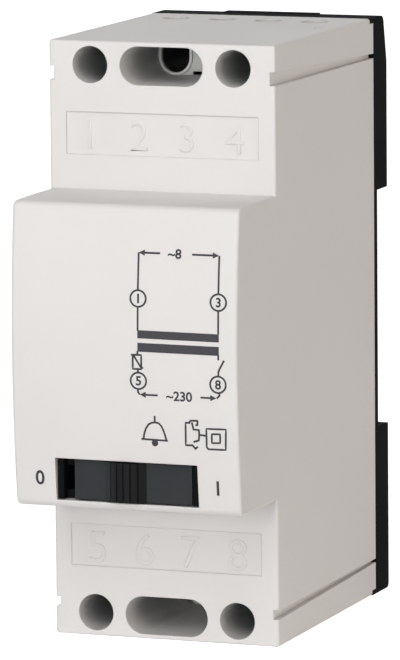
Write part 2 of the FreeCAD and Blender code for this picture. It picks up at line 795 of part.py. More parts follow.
def make_windings():
    pieces = []
    coils = (("primary", primary_back, primary_back - primary_front),
             ("secondary", secondary_back, secondary_back - secondary_front))
    for name, back, length in coils:
        copper = new_body(f"{name}_winding")
        ring(copper, f"{name}_turns", back, length, sizes.winding_inset, None)
        tape = new_body(f"{name}_tape")
        ring(tape, f"{name}_tape_wrap", back, length,
             sizes.winding_inset - sizes.tape_thickness, sizes.winding_inset)
        pieces += [copper, tape]
    return pieces


def make_pins(name, y, forward, places):
    # Solder pins that stand out of one flange
    body = new_body(name)
    sketch = sketch_on(body, f"{name}_sections", "XZ_Plane", -y)
    for x, z in places:
        circle(sketch, pin_x * x, pin_z * z, sizes.pin_radius)
    pad(body, sketch, sizes.pin_length, reverse=not forward)
    return body


# Terminal carriers and what they hold

carrier_half_width = inner_half_width - sizes.carrier_play
carrier_outer_z = inner_half_height - sizes.carrier_end_play
carrier_inner_z = carrier_outer_z - sizes.carrier_height
clamp_half_width = (terminal_pitch - sizes.clamp_spacing) / 2
tab_half_width = clamp_half_width - sizes.clamp_wall - sizes.tab_side_play
clamp_inner_y = sizes.clamp_opening / 2
clamp_front = wire_y - clamp_inner_y - sizes.clamp_front_wall
clamp_back = wire_y + clamp_inner_y + sizes.clamp_wall
clamp_outer_z = carrier_outer_z - sizes.clamp_play
clamp_inner_z = clamp_outer_z - sizes.clamp_height
tab_back = wire_y + clamp_inner_y
tab_front = tab_back - sizes.tab_thickness
tab_tail_z = carrier_inner_z - sizes.tab_tail
lead_floor = tab_tail_z - sizes.lead_drop


def channel_outline(sketch, x, row, side, radius):
    # A screw channel: half round at its inner edge and open at its outer one
    open_z = (carrier_outer_z + clear) * side
    way = "anticlockwise" if side > 0 else "clockwise"
    corners = [(x - radius, open_z), (x - radius, row), (x + radius, row), (x + radius, open_z)]
    outline(sketch, corners, {1: (x, row, way)})


def make_carrier(end, side, channels, rims):
    body = new_body(f"{end}_terminal_carrier")
    face = -getattr(sizes, f"{end}_carrier_reach")
    rear = -sizes.carrier_back
    row = screw_z * side

    block = sketch_on(body, f"{end}_carrier_block", "XZ_Plane", sizes.carrier_back)
    rectangle(block, -carrier_half_width, carrier_half_width,
              carrier_inner_z * side, carrier_outer_z * side)
    pad(body, block, rear - face)

    if rims:
        lip = sketch_on(body, f"{end}_rims", "XZ_Plane", -face)
        outer = sizes.probe_channel_radius + sizes.screw_rim_wall
        inner = sizes.probe_channel_radius
        way = "anticlockwise" if side > 0 else "clockwise"
        back_way = "clockwise" if side > 0 else "anticlockwise"
        top = carrier_outer_z * side
        low = row - sizes.probe_channel_drop * side
        for number in rims:
            x = terminal_x[number]
            corners = [
                (x - outer, top), (x - outer, low), (x + outer, low), (x + outer, top),
                (x + inner, top), (x + inner, low), (x - inner, low), (x - inner, top),
            ]
            outline(lip, corners, {1: (x, low, way), 5: (x, low, back_way)})
        pad(body, lip, sizes.screw_rim_height)

        # Slit under the face, between the two rims
        slit = sketch_on(body, f"{end}_slit", "XZ_Plane", -(face - clear))
        floor = (screw_z - sizes.slot_half_height) * side
        rectangle(slit, terminal_x[rims[0]] + outer, terminal_x[rims[-1]] - outer,
                  floor, floor + sizes.slit_height * side)
        pocket(body, slit, sizes.slit_depth + clear)

    screws = sketch_on(body, f"{end}_screw_channels", "XZ_Plane", -(face - clear))
    for number in channels:
        if number in rims:
            channel_outline(screws, terminal_x[number], row - sizes.probe_channel_drop * side,
                            side, sizes.probe_channel_radius)
        else:
            channel_outline(screws, terminal_x[number], row, side, sizes.screw_channel_radius)
    pocket(body, screws, clear + clamp_front - sizes.clamp_play - face + clear / 2)

    # Pockets for the clamps, with a slit for each tab below
    seats = sketch_on(body, f"{end}_clamp_seats", "XY_Plane", (carrier_outer_z + clear) * side)
    slits = sketch_on(body, f"{end}_tab_slits", "XY_Plane", (clamp_inner_z + clear) * side)
    reach = clamp_half_width + sizes.clamp_play
    slit_reach = tab_half_width + sizes.clamp_play
    for x in terminal_x:
        rectangle(seats, x - reach, x + reach,
                  clamp_front - sizes.clamp_play, clamp_back + sizes.clamp_play)
        rectangle(slits, x - slit_reach, x + slit_reach,
                  tab_front - sizes.clamp_play, tab_back + sizes.clamp_play)
    pocket(body, seats, clear + carrier_outer_z - clamp_inner_z + sizes.clamp_play,
           reverse=side < 0)
    pocket(body, slits, clear + clamp_inner_z - carrier_inner_z + clear, reverse=side < 0)

    if not rims:
        # A well behind the long slot, with a moulded pillar left standing in it
        well = sketch_on(body, f"{end}_well", "XZ_Plane", -(face - clear))
        rectangle(well, -slot_half_length, slot_half_length,
                  (screw_z - sizes.slot_half_height) * side, (carrier_outer_z + clear) * side)
        pocket(body, well, sizes.well_depth + clear)
        pillar = sketch_on(body, f"{end}_pillar", "XZ_Plane", -(face + sizes.well_depth))
        circle(pillar, terminal_x[1], (screw_z - sizes.pillar_drop) * side, sizes.pillar_radius)
        pad(body, pillar, sizes.well_depth)
    return body


def make_clamp(number, x, side):
    # A rectangular cage, open along Z for the wire, with the screw's hole in its front wall
    body = new_body(f"terminal_clamp_{number}")
    outer = clamp_outer_z * side
    section = sketch_on(body, f"clamp_{number}_section", "XY_Plane", outer)
    half = clamp_half_width
    inner_half = half - sizes.clamp_wall
    rectangle(section, x - half, x + half, clamp_front, clamp_back)
    rectangle(section, x - inner_half, x + inner_half,
              wire_y - clamp_inner_y, wire_y + clamp_inner_y)
    pad(body, section, sizes.clamp_height, reverse=side > 0)
    hole = sketch_on(body, f"clamp_{number}_hole", "XZ_Plane", -(clamp_front - clear))
    circle(hole, x, screw_z * side, sizes.screw_radius)
    pocket(body, hole, clear + sizes.clamp_front_wall + clear)
    return body


def make_tab(number, x, side):
    # Flat strip from inside the clamp down to the solder end, which has a notch on each edge
    body = new_body(f"terminal_tab_{number}")
    strip = sketch_on(body, f"tab_{number}_strip", "XZ_Plane", -tab_back)
    half = tab_half_width
    notch = sizes.tab_notch
    top = (clamp_outer_z - sizes.clamp_wall) * side
    end = tab_tail_z * side
    shelf = (tab_tail_z + sizes.tab_tail / 2) * side
    corners = [
        (x - half, top), (x + half, top), (x + half, shelf), (x + half - notch, shelf),
        (x + half - notch, end), (x - half + notch, end), (x - half + notch, shelf),
        (x - half, shelf),
    ]
    outline(strip, corners)
    pad(body, strip, sizes.tab_thickness)
    return body


def make_screws(places):
    # One screw, turned about its axis and slotted, then set at each terminal
    tip = tab_front - sizes.screw_tip_gap
    head_back = clamp_front - sizes.screw_head_gap
    head_front = head_back - sizes.screw_head_height
    form = new_body("screw_form")
    profile = sketch_on(form, "screw_profile", "XY_Plane")
    corners = [
        (0, head_front), (sizes.screw_head_radius, head_front),
        (sizes.screw_head_radius, head_back), (sizes.screw_radius, head_back),
        (sizes.screw_radius, tip - sizes.screw_radius / 2), (sizes.screw_radius / 2, tip),
        (0, tip),
    ]
    outline(profile, corners)
    turned = form.newObject("PartDesign::Revolution", "screw_turned")
    turned.Profile = profile
    turned.ReferenceAxis = (profile, ["V_Axis"])
    turned.Angle = 360
    doc.recompute()
    slot = sketch_on(form, "screw_slot", "XZ_Plane", -(head_front - clear))
    half = sizes.screw_slot_width / 2
    reach = sizes.screw_head_radius + clear
    rectangle(slot, -reach, reach, -half, half)
    pocket(form, slot, sizes.screw_slot_depth + clear)

    screws = doc.addObject("Part::Feature", "terminal_screws")
    screws.Label = "terminal_screws"
    copies = []
    for x, side in places:
        copies.append(form.Shape.translated(Vector(x.value, 0, screw_z.value * side)))
    screws.Shape = Part.makeCompound(copies)
    screws.Placement = Placement()
    return screws


# Switch: frame, slider, moving bridge, two fixed contacts and the board that holds them

frame_half_x = window_half_x - sizes.switch_clearance
frame_half_z = sizes.window_height / 2 - sizes.switch_clearance
pad_y = nose_edge_y + sizes.switch_setback
pad_back_y = pad_y + sizes.slider_pad_thickness
channel_half_x = frame_half_x - sizes.switch_post
lip_front_y = pad_back_y + sizes.slider_play
lip_back_y = lip_front_y + sizes.switch_lip
board_front_y = lip_front_y + sizes.switch_depth
neck_half_z = frame_half_z - sizes.switch_wall * 2
chamber_half_z = frame_half_z - sizes.switch_wall


def make_switch_frame():
    body = new_body("switch_frame")
    shell = sketch_on(body, "frame_shell", "XZ_Plane", -board_front_y)
    rectangle(shell, -frame_half_x, frame_half_x, window_z - frame_half_z, window_z + frame_half_z)
    pad(body, shell, board_front_y - lip_front_y)

    posts = sketch_on(body, "frame_posts", "XZ_Plane", -lip_front_y)
    for sign in (-1, 1):
        centre = (frame_half_x - sizes.switch_post / 2) * sign
        rectangle(posts, centre - sizes.switch_post / 2, centre + sizes.switch_post / 2,
                  window_z - frame_half_z, window_z + frame_half_z)
    pad(body, posts, lip_front_y - pad_y)

    # Ears that bear on the inside of the nose's face
    ear_front = nose_edge_y + sizes.ear_setback
    ears = sketch_on(body, "frame_ears", "XZ_Plane", -(ear_front + sizes.ear_thickness))
    reach = frame_half_x + sizes.ear_reach
    rectangle(ears, -reach, reach, window_z - frame_half_z, window_z + frame_half_z)
    pad(body, ears, sizes.ear_thickness)

    neck = sketch_on(body, "frame_neck", "XZ_Plane", -(pad_y - clear))
    rectangle(neck, -channel_half_x, channel_half_x, window_z - neck_half_z, window_z + neck_half_z)
    pocket(body, neck, board_front_y - pad_y + 2 * clear)

    chamber = sketch_on(body, "frame_chamber", "XZ_Plane", -lip_back_y)
    rectangle(chamber, -channel_half_x, channel_half_x,
              window_z - chamber_half_z, window_z + chamber_half_z)
    pocket(body, chamber, board_front_y - lip_back_y + clear)
    return body


slider_half = channel_half_x - sizes.slider_end_gap - sizes.slider_travel / 2
slider_x = sizes.slider_travel / 2  # centre of the slider while it stands at I
stem_half_length = slider_half * sizes.slider_stem_share
stem_back_y = board_front_y - sizes.contact_thickness * 2 - sizes.contact_bridge_gap


def make_switch_slider():
    body = new_body("switch_slider")
    play = sizes.slider_play
    pad_half_z = frame_half_z - play / 2
    plate = sketch_on(body, "slider_plate", "XZ_Plane", -pad_back_y)
    rectangle(plate, slider_x - slider_half, slider_x + slider_half,
              window_z - pad_half_z, window_z + pad_half_z)
    pad(body, plate, sizes.slider_pad_thickness)

    # The grip bulges out between the two flat pads
    grip_x = slider_x - sizes.slider_grip_centre
    grip_half = sizes.slider_grip_width / 2
    grip_front = pad_y - sizes.slider_grip_rise
    radius = (grip_half * grip_half + sizes.slider_grip_rise * sizes.slider_grip_rise) \
        / (sizes.slider_grip_rise * 2)
    grip = sketch_on(body, "slider_grip", "XY_Plane", window_z - pad_half_z)
    base_y = pad_y + sizes.slider_pad_thickness / 2
    corners = [(grip_x - grip_half, pad_y), (grip_x + grip_half, pad_y),
               (grip_x + grip_half, base_y), (grip_x - grip_half, base_y)]
    outline(grip, corners, {0: (grip_x, grip_front + radius)})
    pad(body, grip, pad_half_z * 2)

    # Upright finger ribs, left by fine cuts across the bulge
    cuts = sketch_on(body, "slider_rib_cuts", "XY_Plane", window_z + pad_half_z + clear)
    count = int(sizes.rib_count.value)
    spacing = sizes.slider_grip_width / (sizes.rib_count + 1)
    for step in range(count):
        x = grip_x + spacing * (step - (count - 1) / 2)
        place = (step - (count - 1) / 2) * spacing.value
        sagitta = radius.value - math.sqrt(radius.value ** 2 - place ** 2)
        top = grip_front + sagitta
        rib = sizes.rib_cut
        outline(cuts, [(x - rib, top - rib), (x + rib, top - rib), (x, top + rib)])
    pocket(body, cuts, pad_half_z * 2 + 2 * clear)

    # The stem passes the frame's neck and widens behind its lip
    stem_left = slider_x - stem_half_length
    stem_right = slider_x + stem_half_length
    stem = sketch_on(body, "slider_stem", "XZ_Plane", -stem_back_y)
    rectangle(stem, stem_left, stem_right, window_z - neck_half_z + play,
              window_z + neck_half_z - play)
    pad(body, stem, stem_back_y - pad_back_y + play / 2)
    foot = sketch_on(body, "slider_foot", "XZ_Plane", -stem_back_y)
    rectangle(foot, stem_left, stem_right, window_z - chamber_half_z + play,
              window_z + chamber_half_z - play)
    pad(body, foot, stem_back_y - lip_back_y - play)
    return body


def strip(label, left, right, back, half_z):
    # A flat spring-bronze strip that lies across the switch
    body = new_body(label)
    sketch = sketch_on(body, f"{label}_strip", "XZ_Plane", -back)
    rectangle(sketch, left, right, window_z - half_z, window_z + half_z)
    pad(body, sketch, sizes.contact_thickness)
    return body


bridge_left = slider_x - stem_half_length
bridge_right = bridge_left + stem_half_length * 2 - 1.0
contact_half_z = sizes.contact_width / 2


def make_switch_contacts():
    bridge_back = stem_back_y + sizes.contact_thickness
    bridge = strip("switch_bridge", bridge_left, bridge_right, bridge_back, contact_half_z)
    # At I the bridge reaches over both contacts; moved to 0 it leaves the right one
    right_start = bridge_right - sizes.slider_travel / 2
    left_end = right_start - sizes.contact_gap
    tail_x = channel_half_x - sizes.switch_post * 2
    pieces = [bridge]
    for label, left, right, sign in (
            ("switch_contact_line", right_start, tail_x, 1),
            ("switch_contact_load", -tail_x, left_end, -1)):
        body = strip(label, left, right, board_front_y, contact_half_z)
        blade = sketch_on(body, f"{label}_blade", "XZ_Plane", -board_front_y)
        edge = tail_x * sign
        inner = (tail_x - sizes.contact_thickness) * sign
        rectangle(blade, inner, edge, window_z - contact_half_z, window_z + contact_half_z)
        pad(body, blade, sizes.tail_length + sizes.board_thickness, reverse=True)
        pieces.append(body)
    return pieces, tail_x


def make_switch_board(tail_x):
    # Closes the frame from behind; the blades pass through its two slits
    body = new_body("switch_board")
    back = board_front_y + sizes.board_thickness
    plate = sketch_on(body, "board_plate", "XZ_Plane", -back)
    rectangle(plate, -frame_half_x, frame_half_x, window_z - frame_half_z, window_z + frame_half_z)
    pad(body, plate, sizes.board_thickness)
    slits = sketch_on(body, "board_slits", "XZ_Plane", -(board_front_y - clear))
    play = sizes.contact_bridge_gap / 2
    for sign in (-1, 1):
        centre = (tail_x - sizes.contact_thickness / 2) * sign
        half = sizes.contact_thickness / 2 + play
        rectangle(slits, centre - half, centre + half,
                  window_z - contact_half_z - play, window_z + contact_half_z + play)
    pocket(body, slits, sizes.board_thickness + 2 * clear)
    return body


# Thermistor: a disc below the bobbin, with two legs

disc_x = bobbin_half_width - sizes.disc_inset
disc_y = (core_back + core_front) / 2 - 1


def make_thermistor():
    disc_z = bobbin_half_height + sizes.disc_radius + sizes.bobbin_clearance
    disc = doc.addObject("Part::Cylinder", "ptc_disc")
    disc.setExpression("Radius", sizes.disc_radius.text)
    disc.setExpression("Height", sizes.disc_thickness.text)
    disc.Placement = Placement(Vector(0, 0, 0), Rotation(Vector(0, 1, 0), 90))
    disc.setExpression("Placement.Base.x", (-(disc_x + sizes.disc_thickness / 2)).text)
    disc.setExpression("Placement.Base.y", disc_y.text)
    disc.setExpression("Placement.Base.z", (-disc_z).text)
    legs = []
    leg_end = lead_floor - sizes.disc_leg_end
    for name, sign in (("front", -1), ("rear", 1)):
        leg = doc.addObject("Part::Cylinder", f"ptc_{name}_leg")
        leg.setExpression("Radius", sizes.disc_leg_radius.text)
        leg.setExpression("Height", (leg_end - disc_z).text)
        leg.setExpression("Placement.Base.x", (-disc_x).text)
        leg.setExpression("Placement.Base.y", (disc_y + sizes.disc_leg_spread * sign).text)
        leg.setExpression("Placement.Base.z", (-leg_end).text)
        legs.append(leg)
    fused = doc.addObject("Part::MultiFuse", "ptc_thermistor")
    fused.Label = "ptc_thermistor"
    fused.Shapes = [disc] + legs
    doc.recompute()
    return fused, leg_end


# Leads: straight runs joined by arcs

def make_lead(label, points):
    points = [Vector(*[as_size(part).value for part in point]) for point in points]
    edges = []
    start = points[0]
    length = 0.0
    for before, corner, after in zip(points, points[1:], points[2:]):
        inward = (corner - before).normalize()
        outward = (after - corner).normalize()
        turn = inward.getAngle(outward)
        shorter = min(corner.distanceToPoint(before), after.distanceToPoint(corner))
        cut = min(sizes.lead_bend.value * math.tan(turn / 2), 0.45 * shorter)
        radius = cut / math.tan(turn / 2)
        arc_start, arc_end = corner - inward * cut, corner + outward * cut
        normal_in = (outward - inward * inward.dot(outward)).normalize()
        centre = arc_start + normal_in * radius
        middle = centre + (corner - centre).normalize() * radius
        edges.append(Part.LineSegment(start, arc_start).toShape())
        edges.append(Part.Arc(arc_start, middle, arc_end).toShape())
        start = arc_end
    edges.append(Part.LineSegment(start, points[-1]).toShape())
    path = Part.Wire(edges)
    length = path.Length
    direction = (points[1] - points[0]).normalize()
    section = Part.Wire([Part.makeCircle(sizes.lead_radius.value, points[0], direction)])
    solid = path.makePipeShell([section], True, True)
    expected = math.pi * sizes.lead_radius.value ** 2 * length
    if abs(solid.Volume - expected) > 0.02 * expected:
        raise ValueError(f"{label} has volume {solid.Volume:.2f}, not {expected:.2f}")
    lead = doc.addObject("Part::Feature", label)
    lead.Label = label
    lead.Shape = solid
    lead.Placement = Placement()
    return lead


def make_leads(leg_end, tail_x):
    pin_back = bobbin_back + sizes.pin_length
    pin_front = bobbin_front - sizes.pin_length
    tab_y = tab_front + sizes.tab_thickness / 2
    level = -lead_floor
    behind = pin_back + sizes.lead_bend * 1.1
    ahead = pin_front - sizes.lead_bend * 1.5
    disc_front_y = disc_y - sizes.disc_leg_spread
    disc_rear_y = disc_y + sizes.disc_leg_spread
    tail_mid_y = board_front_y + sizes.board_thickness + sizes.tail_length / 2
    routes = {
        "lead_secondary_1": [
            (-pin_x, pin_back, pin_z), (-pin_x, behind, pin_z),
            (terminal_x[0], tab_y, lead_floor - 2), (terminal_x[0], tab_y, tab_tail_z)],
        "lead_secondary_3": [
            (pin_x, pin_back, pin_z), (pin_x, behind, pin_z), (pin_x, behind, lead_floor - 2),
            (terminal_x[2], tab_y, lead_floor), (terminal_x[2], tab_y, tab_tail_z)],
        "lead_thermistor_5": [
            (-disc_x, disc_rear_y, -leg_end), (-disc_x, disc_rear_y, level),
            (terminal_x[0], tab_y, level), (terminal_x[0], tab_y, -tab_tail_z)],
        "lead_thermistor_coil": [
            (-disc_x, disc_front_y, -leg_end), (-disc_x, disc_front_y, level),
            (-pin_x, ahead, level), (-pin_x, ahead, -pin_z), (-pin_x, pin_front, -pin_z)],
        "lead_switch_8": [
            (terminal_x[3], tab_y, -tab_tail_z), (terminal_x[3], tab_y, level),
            (pin_x, ahead, level), (pin_x, ahead, window_z), (pin_x, tail_mid_y, window_z),
            (tail_x, tail_mid_y, window_z)],
        "lead_switch_coil": [
            (-tail_x, tail_mid_y, window_z), (-pin_x, tail_mid_y, window_z),
            (-pin_x, tail_mid_y, pin_z), (-pin_x, pin_front, pin_z)],
    }
    return [make_lead(label, points) for label, points in routes.items()]


# Build every piece

pieces = [make_front_housing(), make_rail_base()]
pieces.append(make_rail_latch("upper", 1, rail_above, half_height + sizes.latch_end_gap / 2))
pieces.append(make_rail_latch("lower", -1, rail_below, half_height - sizes.latch_end_gap))
pieces.append(make_latch_spring("upper", 1, rail_above))
pieces.append(make_latch_spring("lower", -1, rail_below))
pieces += [make_core_e(), make_core_i(), make_bobbin()]
pieces += make_windings()
pieces.append(make_pins("secondary_pins", bobbin_back, False, ((-1, 1), (1, 1))))
pieces.append(make_pins("primary_pins", bobbin_front, True, ((-1, -1), (-1, 1))))
pieces.append(make_carrier("upper", 1, (0, 1, 2, 3), (1, 2)))
pieces.append(make_carrier("lower", -1, (0, 3), ()))
terminals = ((1, terminal_x[0], 1), (3, terminal_x[2], 1),
             (5, terminal_x[0], -1), (8, terminal_x[3], -1))
for number, x, side in terminals:
    pieces.append(make_clamp(number, x, side))
    pieces.append(make_tab(number, x, side))
pieces.append(make_screws([(x, side) for number, x, side in terminals]))
pieces += [make_switch_frame(), make_switch_slider()]
contacts, tail_x = make_switch_contacts()
pieces += contacts
pieces.append(make_switch_board(tail_x))
thermistor, leg_end = make_thermistor()
pieces.append(thermistor)
pieces += make_leads(leg_end, tail_x)
doc.recompute()

# Check every object, then write one file for each piece

for item in doc.Objects:
    if "Invalid" in item.State or "Error" in item.State:
        raise ValueError(f"{item.Name} is in state {item.State}")
os.makedirs("parts", exist_ok=True)
for piece in pieces:
    shape = piece.Shape
    if shape.isNull() or not shape.isValid() or shape.Volume <= 0:
        raise ValueError(f"{piece.Label} has no valid shape")
    shape.exportStep(f"parts/{piece.Label}.step")
    print(f"{piece.Label}: {len(shape.Solids)} solid, {shape.Volume:.1f} mm3")
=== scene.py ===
import json
import math

import bmesh
import bpy
from mathutils import Matrix, Vector


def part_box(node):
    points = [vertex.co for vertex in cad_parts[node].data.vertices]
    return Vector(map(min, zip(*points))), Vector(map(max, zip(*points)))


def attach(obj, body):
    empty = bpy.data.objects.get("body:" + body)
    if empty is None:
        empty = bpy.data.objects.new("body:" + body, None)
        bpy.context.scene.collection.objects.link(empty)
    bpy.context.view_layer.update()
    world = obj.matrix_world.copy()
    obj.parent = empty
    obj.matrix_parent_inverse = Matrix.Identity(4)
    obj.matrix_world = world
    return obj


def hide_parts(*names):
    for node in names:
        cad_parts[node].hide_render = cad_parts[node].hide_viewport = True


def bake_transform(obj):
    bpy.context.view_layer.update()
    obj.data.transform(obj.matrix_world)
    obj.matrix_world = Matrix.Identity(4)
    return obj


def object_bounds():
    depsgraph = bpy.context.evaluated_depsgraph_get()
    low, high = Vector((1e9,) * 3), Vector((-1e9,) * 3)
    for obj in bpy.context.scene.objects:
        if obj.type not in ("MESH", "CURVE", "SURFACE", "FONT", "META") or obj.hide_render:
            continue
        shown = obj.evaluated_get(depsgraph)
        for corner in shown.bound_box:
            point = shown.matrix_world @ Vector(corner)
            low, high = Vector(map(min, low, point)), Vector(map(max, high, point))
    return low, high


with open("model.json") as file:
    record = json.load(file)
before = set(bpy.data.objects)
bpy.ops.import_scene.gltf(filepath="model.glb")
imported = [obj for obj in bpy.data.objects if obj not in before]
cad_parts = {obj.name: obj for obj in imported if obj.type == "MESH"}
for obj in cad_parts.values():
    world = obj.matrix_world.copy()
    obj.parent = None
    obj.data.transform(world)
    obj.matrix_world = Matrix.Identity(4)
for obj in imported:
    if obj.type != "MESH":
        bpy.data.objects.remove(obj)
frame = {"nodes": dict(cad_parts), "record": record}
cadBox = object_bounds()
nodes = frame["nodes"]
mm = 0.001
print("frame loaded:", len(nodes), "nodes")


def linear(hexColour):
    # sRGB hex to the linear colour that a shader socket takes, by the sRGB standard's curve
    parts = [int(hexColour[i:i + 2], 16) / 255 for i in (1, 3, 5)]
    return [p / 12.92 if p <= 0.04045 else ((p + 0.055) / 1.055) ** 2.4 for p in parts] + [1.0]


def addNode(tree, kind, inputs=None, **settings):
    # Adds one node; inputs maps a socket's name or number to a value or to the socket that feeds it
    node = tree.nodes.new(kind)
    for name, value in settings.items():
        setattr(node, name, value)
    for key, value in (inputs or {}).items():
        if isinstance(value, bpy.types.NodeSocket):
            tree.links.new(value, node.inputs[key])
        else:
            node.inputs[key].default_value = value
    return node


# Materials. Every size in the looks is in millimetres

noiseSpan = (0.3, 0.7)  # where nearly all values of a noise texture lie
waveLength = 0.314  # metres from band to band of a wave texture at a Scale of 1


def newMaterial(name):
    material = bpy.data.materials.new(name)
    material.use_nodes = True
    material.node_tree.nodes.clear()
    return material, material.node_tree


def finishMaterial(tree, surface, normal):
    tree.links.new(normal, surface.inputs["Normal"])
    addNode(tree, "ShaderNodeOutputMaterial", {"Surface": surface.outputs[0]})


def paintedShaftShade(tree, place, colour, look):
    # Painted shade: the shafts' walls are coloured darker, as deep holes lie in shade. The
    # colour goes over to that from the mouth of each shaft inwards, beside the rows of screws
    parts = addNode(tree, "ShaderNodeSeparateXYZ", {0: place}).outputs
    farX = addNode(tree, "ShaderNodeMath", {0: parts["X"]}, operation="ABSOLUTE")
    between = addNode(tree, "ShaderNodeMath", {
        0: farX.outputs[0], 1: look["halfRow"] * mm}, operation="LESS_THAN")
    farZ = addNode(tree, "ShaderNodeMath", {0: parts["Z"]}, operation="ABSOLUTE")
    inRow = addNode(tree, "ShaderNodeMath", {
        0: farZ.outputs[0], 1: look["row"] * mm, 2: look["reach"] * mm}, operation="COMPARE")
    upper = addNode(tree, "ShaderNodeMath", {0: parts["Z"], 1: 0.0}, operation="GREATER_THAN")
    start = addNode(tree, "ShaderNodeMapRange", {
        "Value": upper.outputs[0], "To Min": -look["lowerStart"] * mm,
        "To Max": -look["upperStart"] * mm})
    run = addNode(tree, "ShaderNodeMath", {
        0: parts["Y"], 1: start.outputs[0]}, operation="SUBTRACT")
    deep = addNode(tree, "ShaderNodeMapRange", {
        "Value": run.outputs[0], "From Min": 0.0, "From Max": look["fade"] * mm},
        interpolation_type="SMOOTHSTEP")
    before = addNode(tree, "ShaderNodeMath", {
        0: run.outputs[0], 1: look["length"] * mm}, operation="LESS_THAN")
    beside = addNode(tree, "ShaderNodeMath", {
        0: between.outputs[0], 1: inRow.outputs[0]}, operation="MULTIPLY")
    inside = addNode(tree, "ShaderNodeMath", {
        0: beside.outputs[0], 1: before.outputs[0]}, operation="MULTIPLY")
    amount = addNode(tree, "ShaderNodeMath", {
        0: inside.outputs[0], 1: deep.outputs[0]}, operation="MULTIPLY")
    # The wide slots in the middle take in more light, so at their foot the painted shade gives way
    # to the outside's colour
    slot = addNode(tree, "ShaderNodeMath", {
        0: farX.outputs[0], 1: look["slotHalf"] * mm}, operation="LESS_THAN")
    centre = addNode(tree, "ShaderNodeMapRange", {
        "Value": upper.outputs[0], "To Min": -look["row"] * mm, "To Max": look["row"] * mm})
    offset = addNode(tree, "ShaderNodeMath", {
        0: parts["Z"], 1: centre.outputs[0]}, operation="SUBTRACT")
    rising = addNode(tree, "ShaderNodeMapRange", {
        "Value": offset.outputs[0], "From Min": -look["slotFoot"] * mm,
        "From Max": look["slotTop"] * mm, "To Min": look["footShare"], "To Max": 1.0})
    less = addNode(tree, "ShaderNodeMapRange", {
        "Value": slot.outputs[0], "To Min": 1.0, "To Max": rising.outputs[0]})
    share = addNode(tree, "ShaderNodeMath", {
        0: amount.outputs[0], 1: less.outputs[0]}, operation="MULTIPLY")
    mixed = addNode(tree, "ShaderNodeMix", {
        0: share.outputs[0], 6: colour, 7: linear(look["colour"])}, data_type="RGBA")
    return mixed.outputs[2]


def paintedGripShade(tree, place, colour, look):
    # Painted shade: the grip's crown and its right side, which faces away from the light, are
    # coloured darker than the matt pads beside it
    x = addNode(tree, "ShaderNodeSeparateXYZ", {0: place}).outputs["X"]
    rising = addNode(tree, "ShaderNodeMapRange", {
        "Value": x, "From Min": look["left"] * mm, "From Max": look["crown"] * mm},
        interpolation_type="SMOOTHSTEP")
    before = addNode(tree, "ShaderNodeMath", {0: x, 1: look["right"] * mm}, operation="LESS_THAN")
    amount = addNode(tree, "ShaderNodeMath", {
        0: rising.outputs[0], 1: before.outputs[0]}, operation="MULTIPLY")
    mixed = addNode(tree, "ShaderNodeMix", {
        0: amount.outputs[0], 6: colour, 7: linear(look["colour"])}, data_type="RGBA")
    return mixed.outputs[2]


def mouldedPlastic(name, look, shafts=None, grip=None):
    # Injection moulded: the tool's spark-eroded grain breaks up the shine, and the
    # flow of the melt leaves faint clouds in colour and gloss
    material, tree = newMaterial(name)
    place = addNode(tree, "ShaderNodeTexCoord").outputs["Object"]
    grain = addNode(tree, "ShaderNodeTexNoise", {
        "Vector": place, "Scale": 1 / (look["grainMm"] * mm), "Detail": 2.0, "Roughness": 0.55})
    clouds = addNode(tree, "ShaderNodeTexNoise", {
        "Vector": place, "Scale": 1 / (look["cloudMm"] * mm), "Detail": 3.0, "Roughness": 0.5})
    colour = addNode(tree, "ShaderNodeMix", {
        0: clouds.outputs["Fac"], 6: linear(look["dark"]), 7: linear(look["light"])},
        data_type="RGBA").outputs[2]
    # Painted shade inside the screwdriver shafts
    if shafts:
        colour = paintedShaftShade(tree, place, colour, shafts)
    # Painted shade on the slider's grip
    if grip:
        colour = paintedGripShade(tree, place, colour, grip)
    roughness = addNode(tree, "ShaderNodeMapRange", {
        "Value": clouds.outputs["Fac"], "From Min": noiseSpan[0], "From Max": noiseSpan[1],
        "To Min": look["roughness"] - look["spread"], "To Max": look["roughness"] + look["spread"]})
    bevel = addNode(tree, "ShaderNodeBevel", {"Radius": look["edgeMm"] * mm}, samples=6)
    bump = addNode(tree, "ShaderNodeBump", {
        "Strength": look["grainStrength"], "Distance": look["grainDepthMm"] * mm,
        "Height": grain.outputs["Fac"], "Normal": bevel.outputs["Normal"]})
    shader = addNode(tree, "ShaderNodeBsdfPrincipled", {
        "Base Color": colour, "Roughness": roughness.outputs[0], "IOR": look["ior"],
        "Specular IOR Level": look["specular"]})
    finishMaterial(tree, shader, bump.outputs["Normal"])
    return material


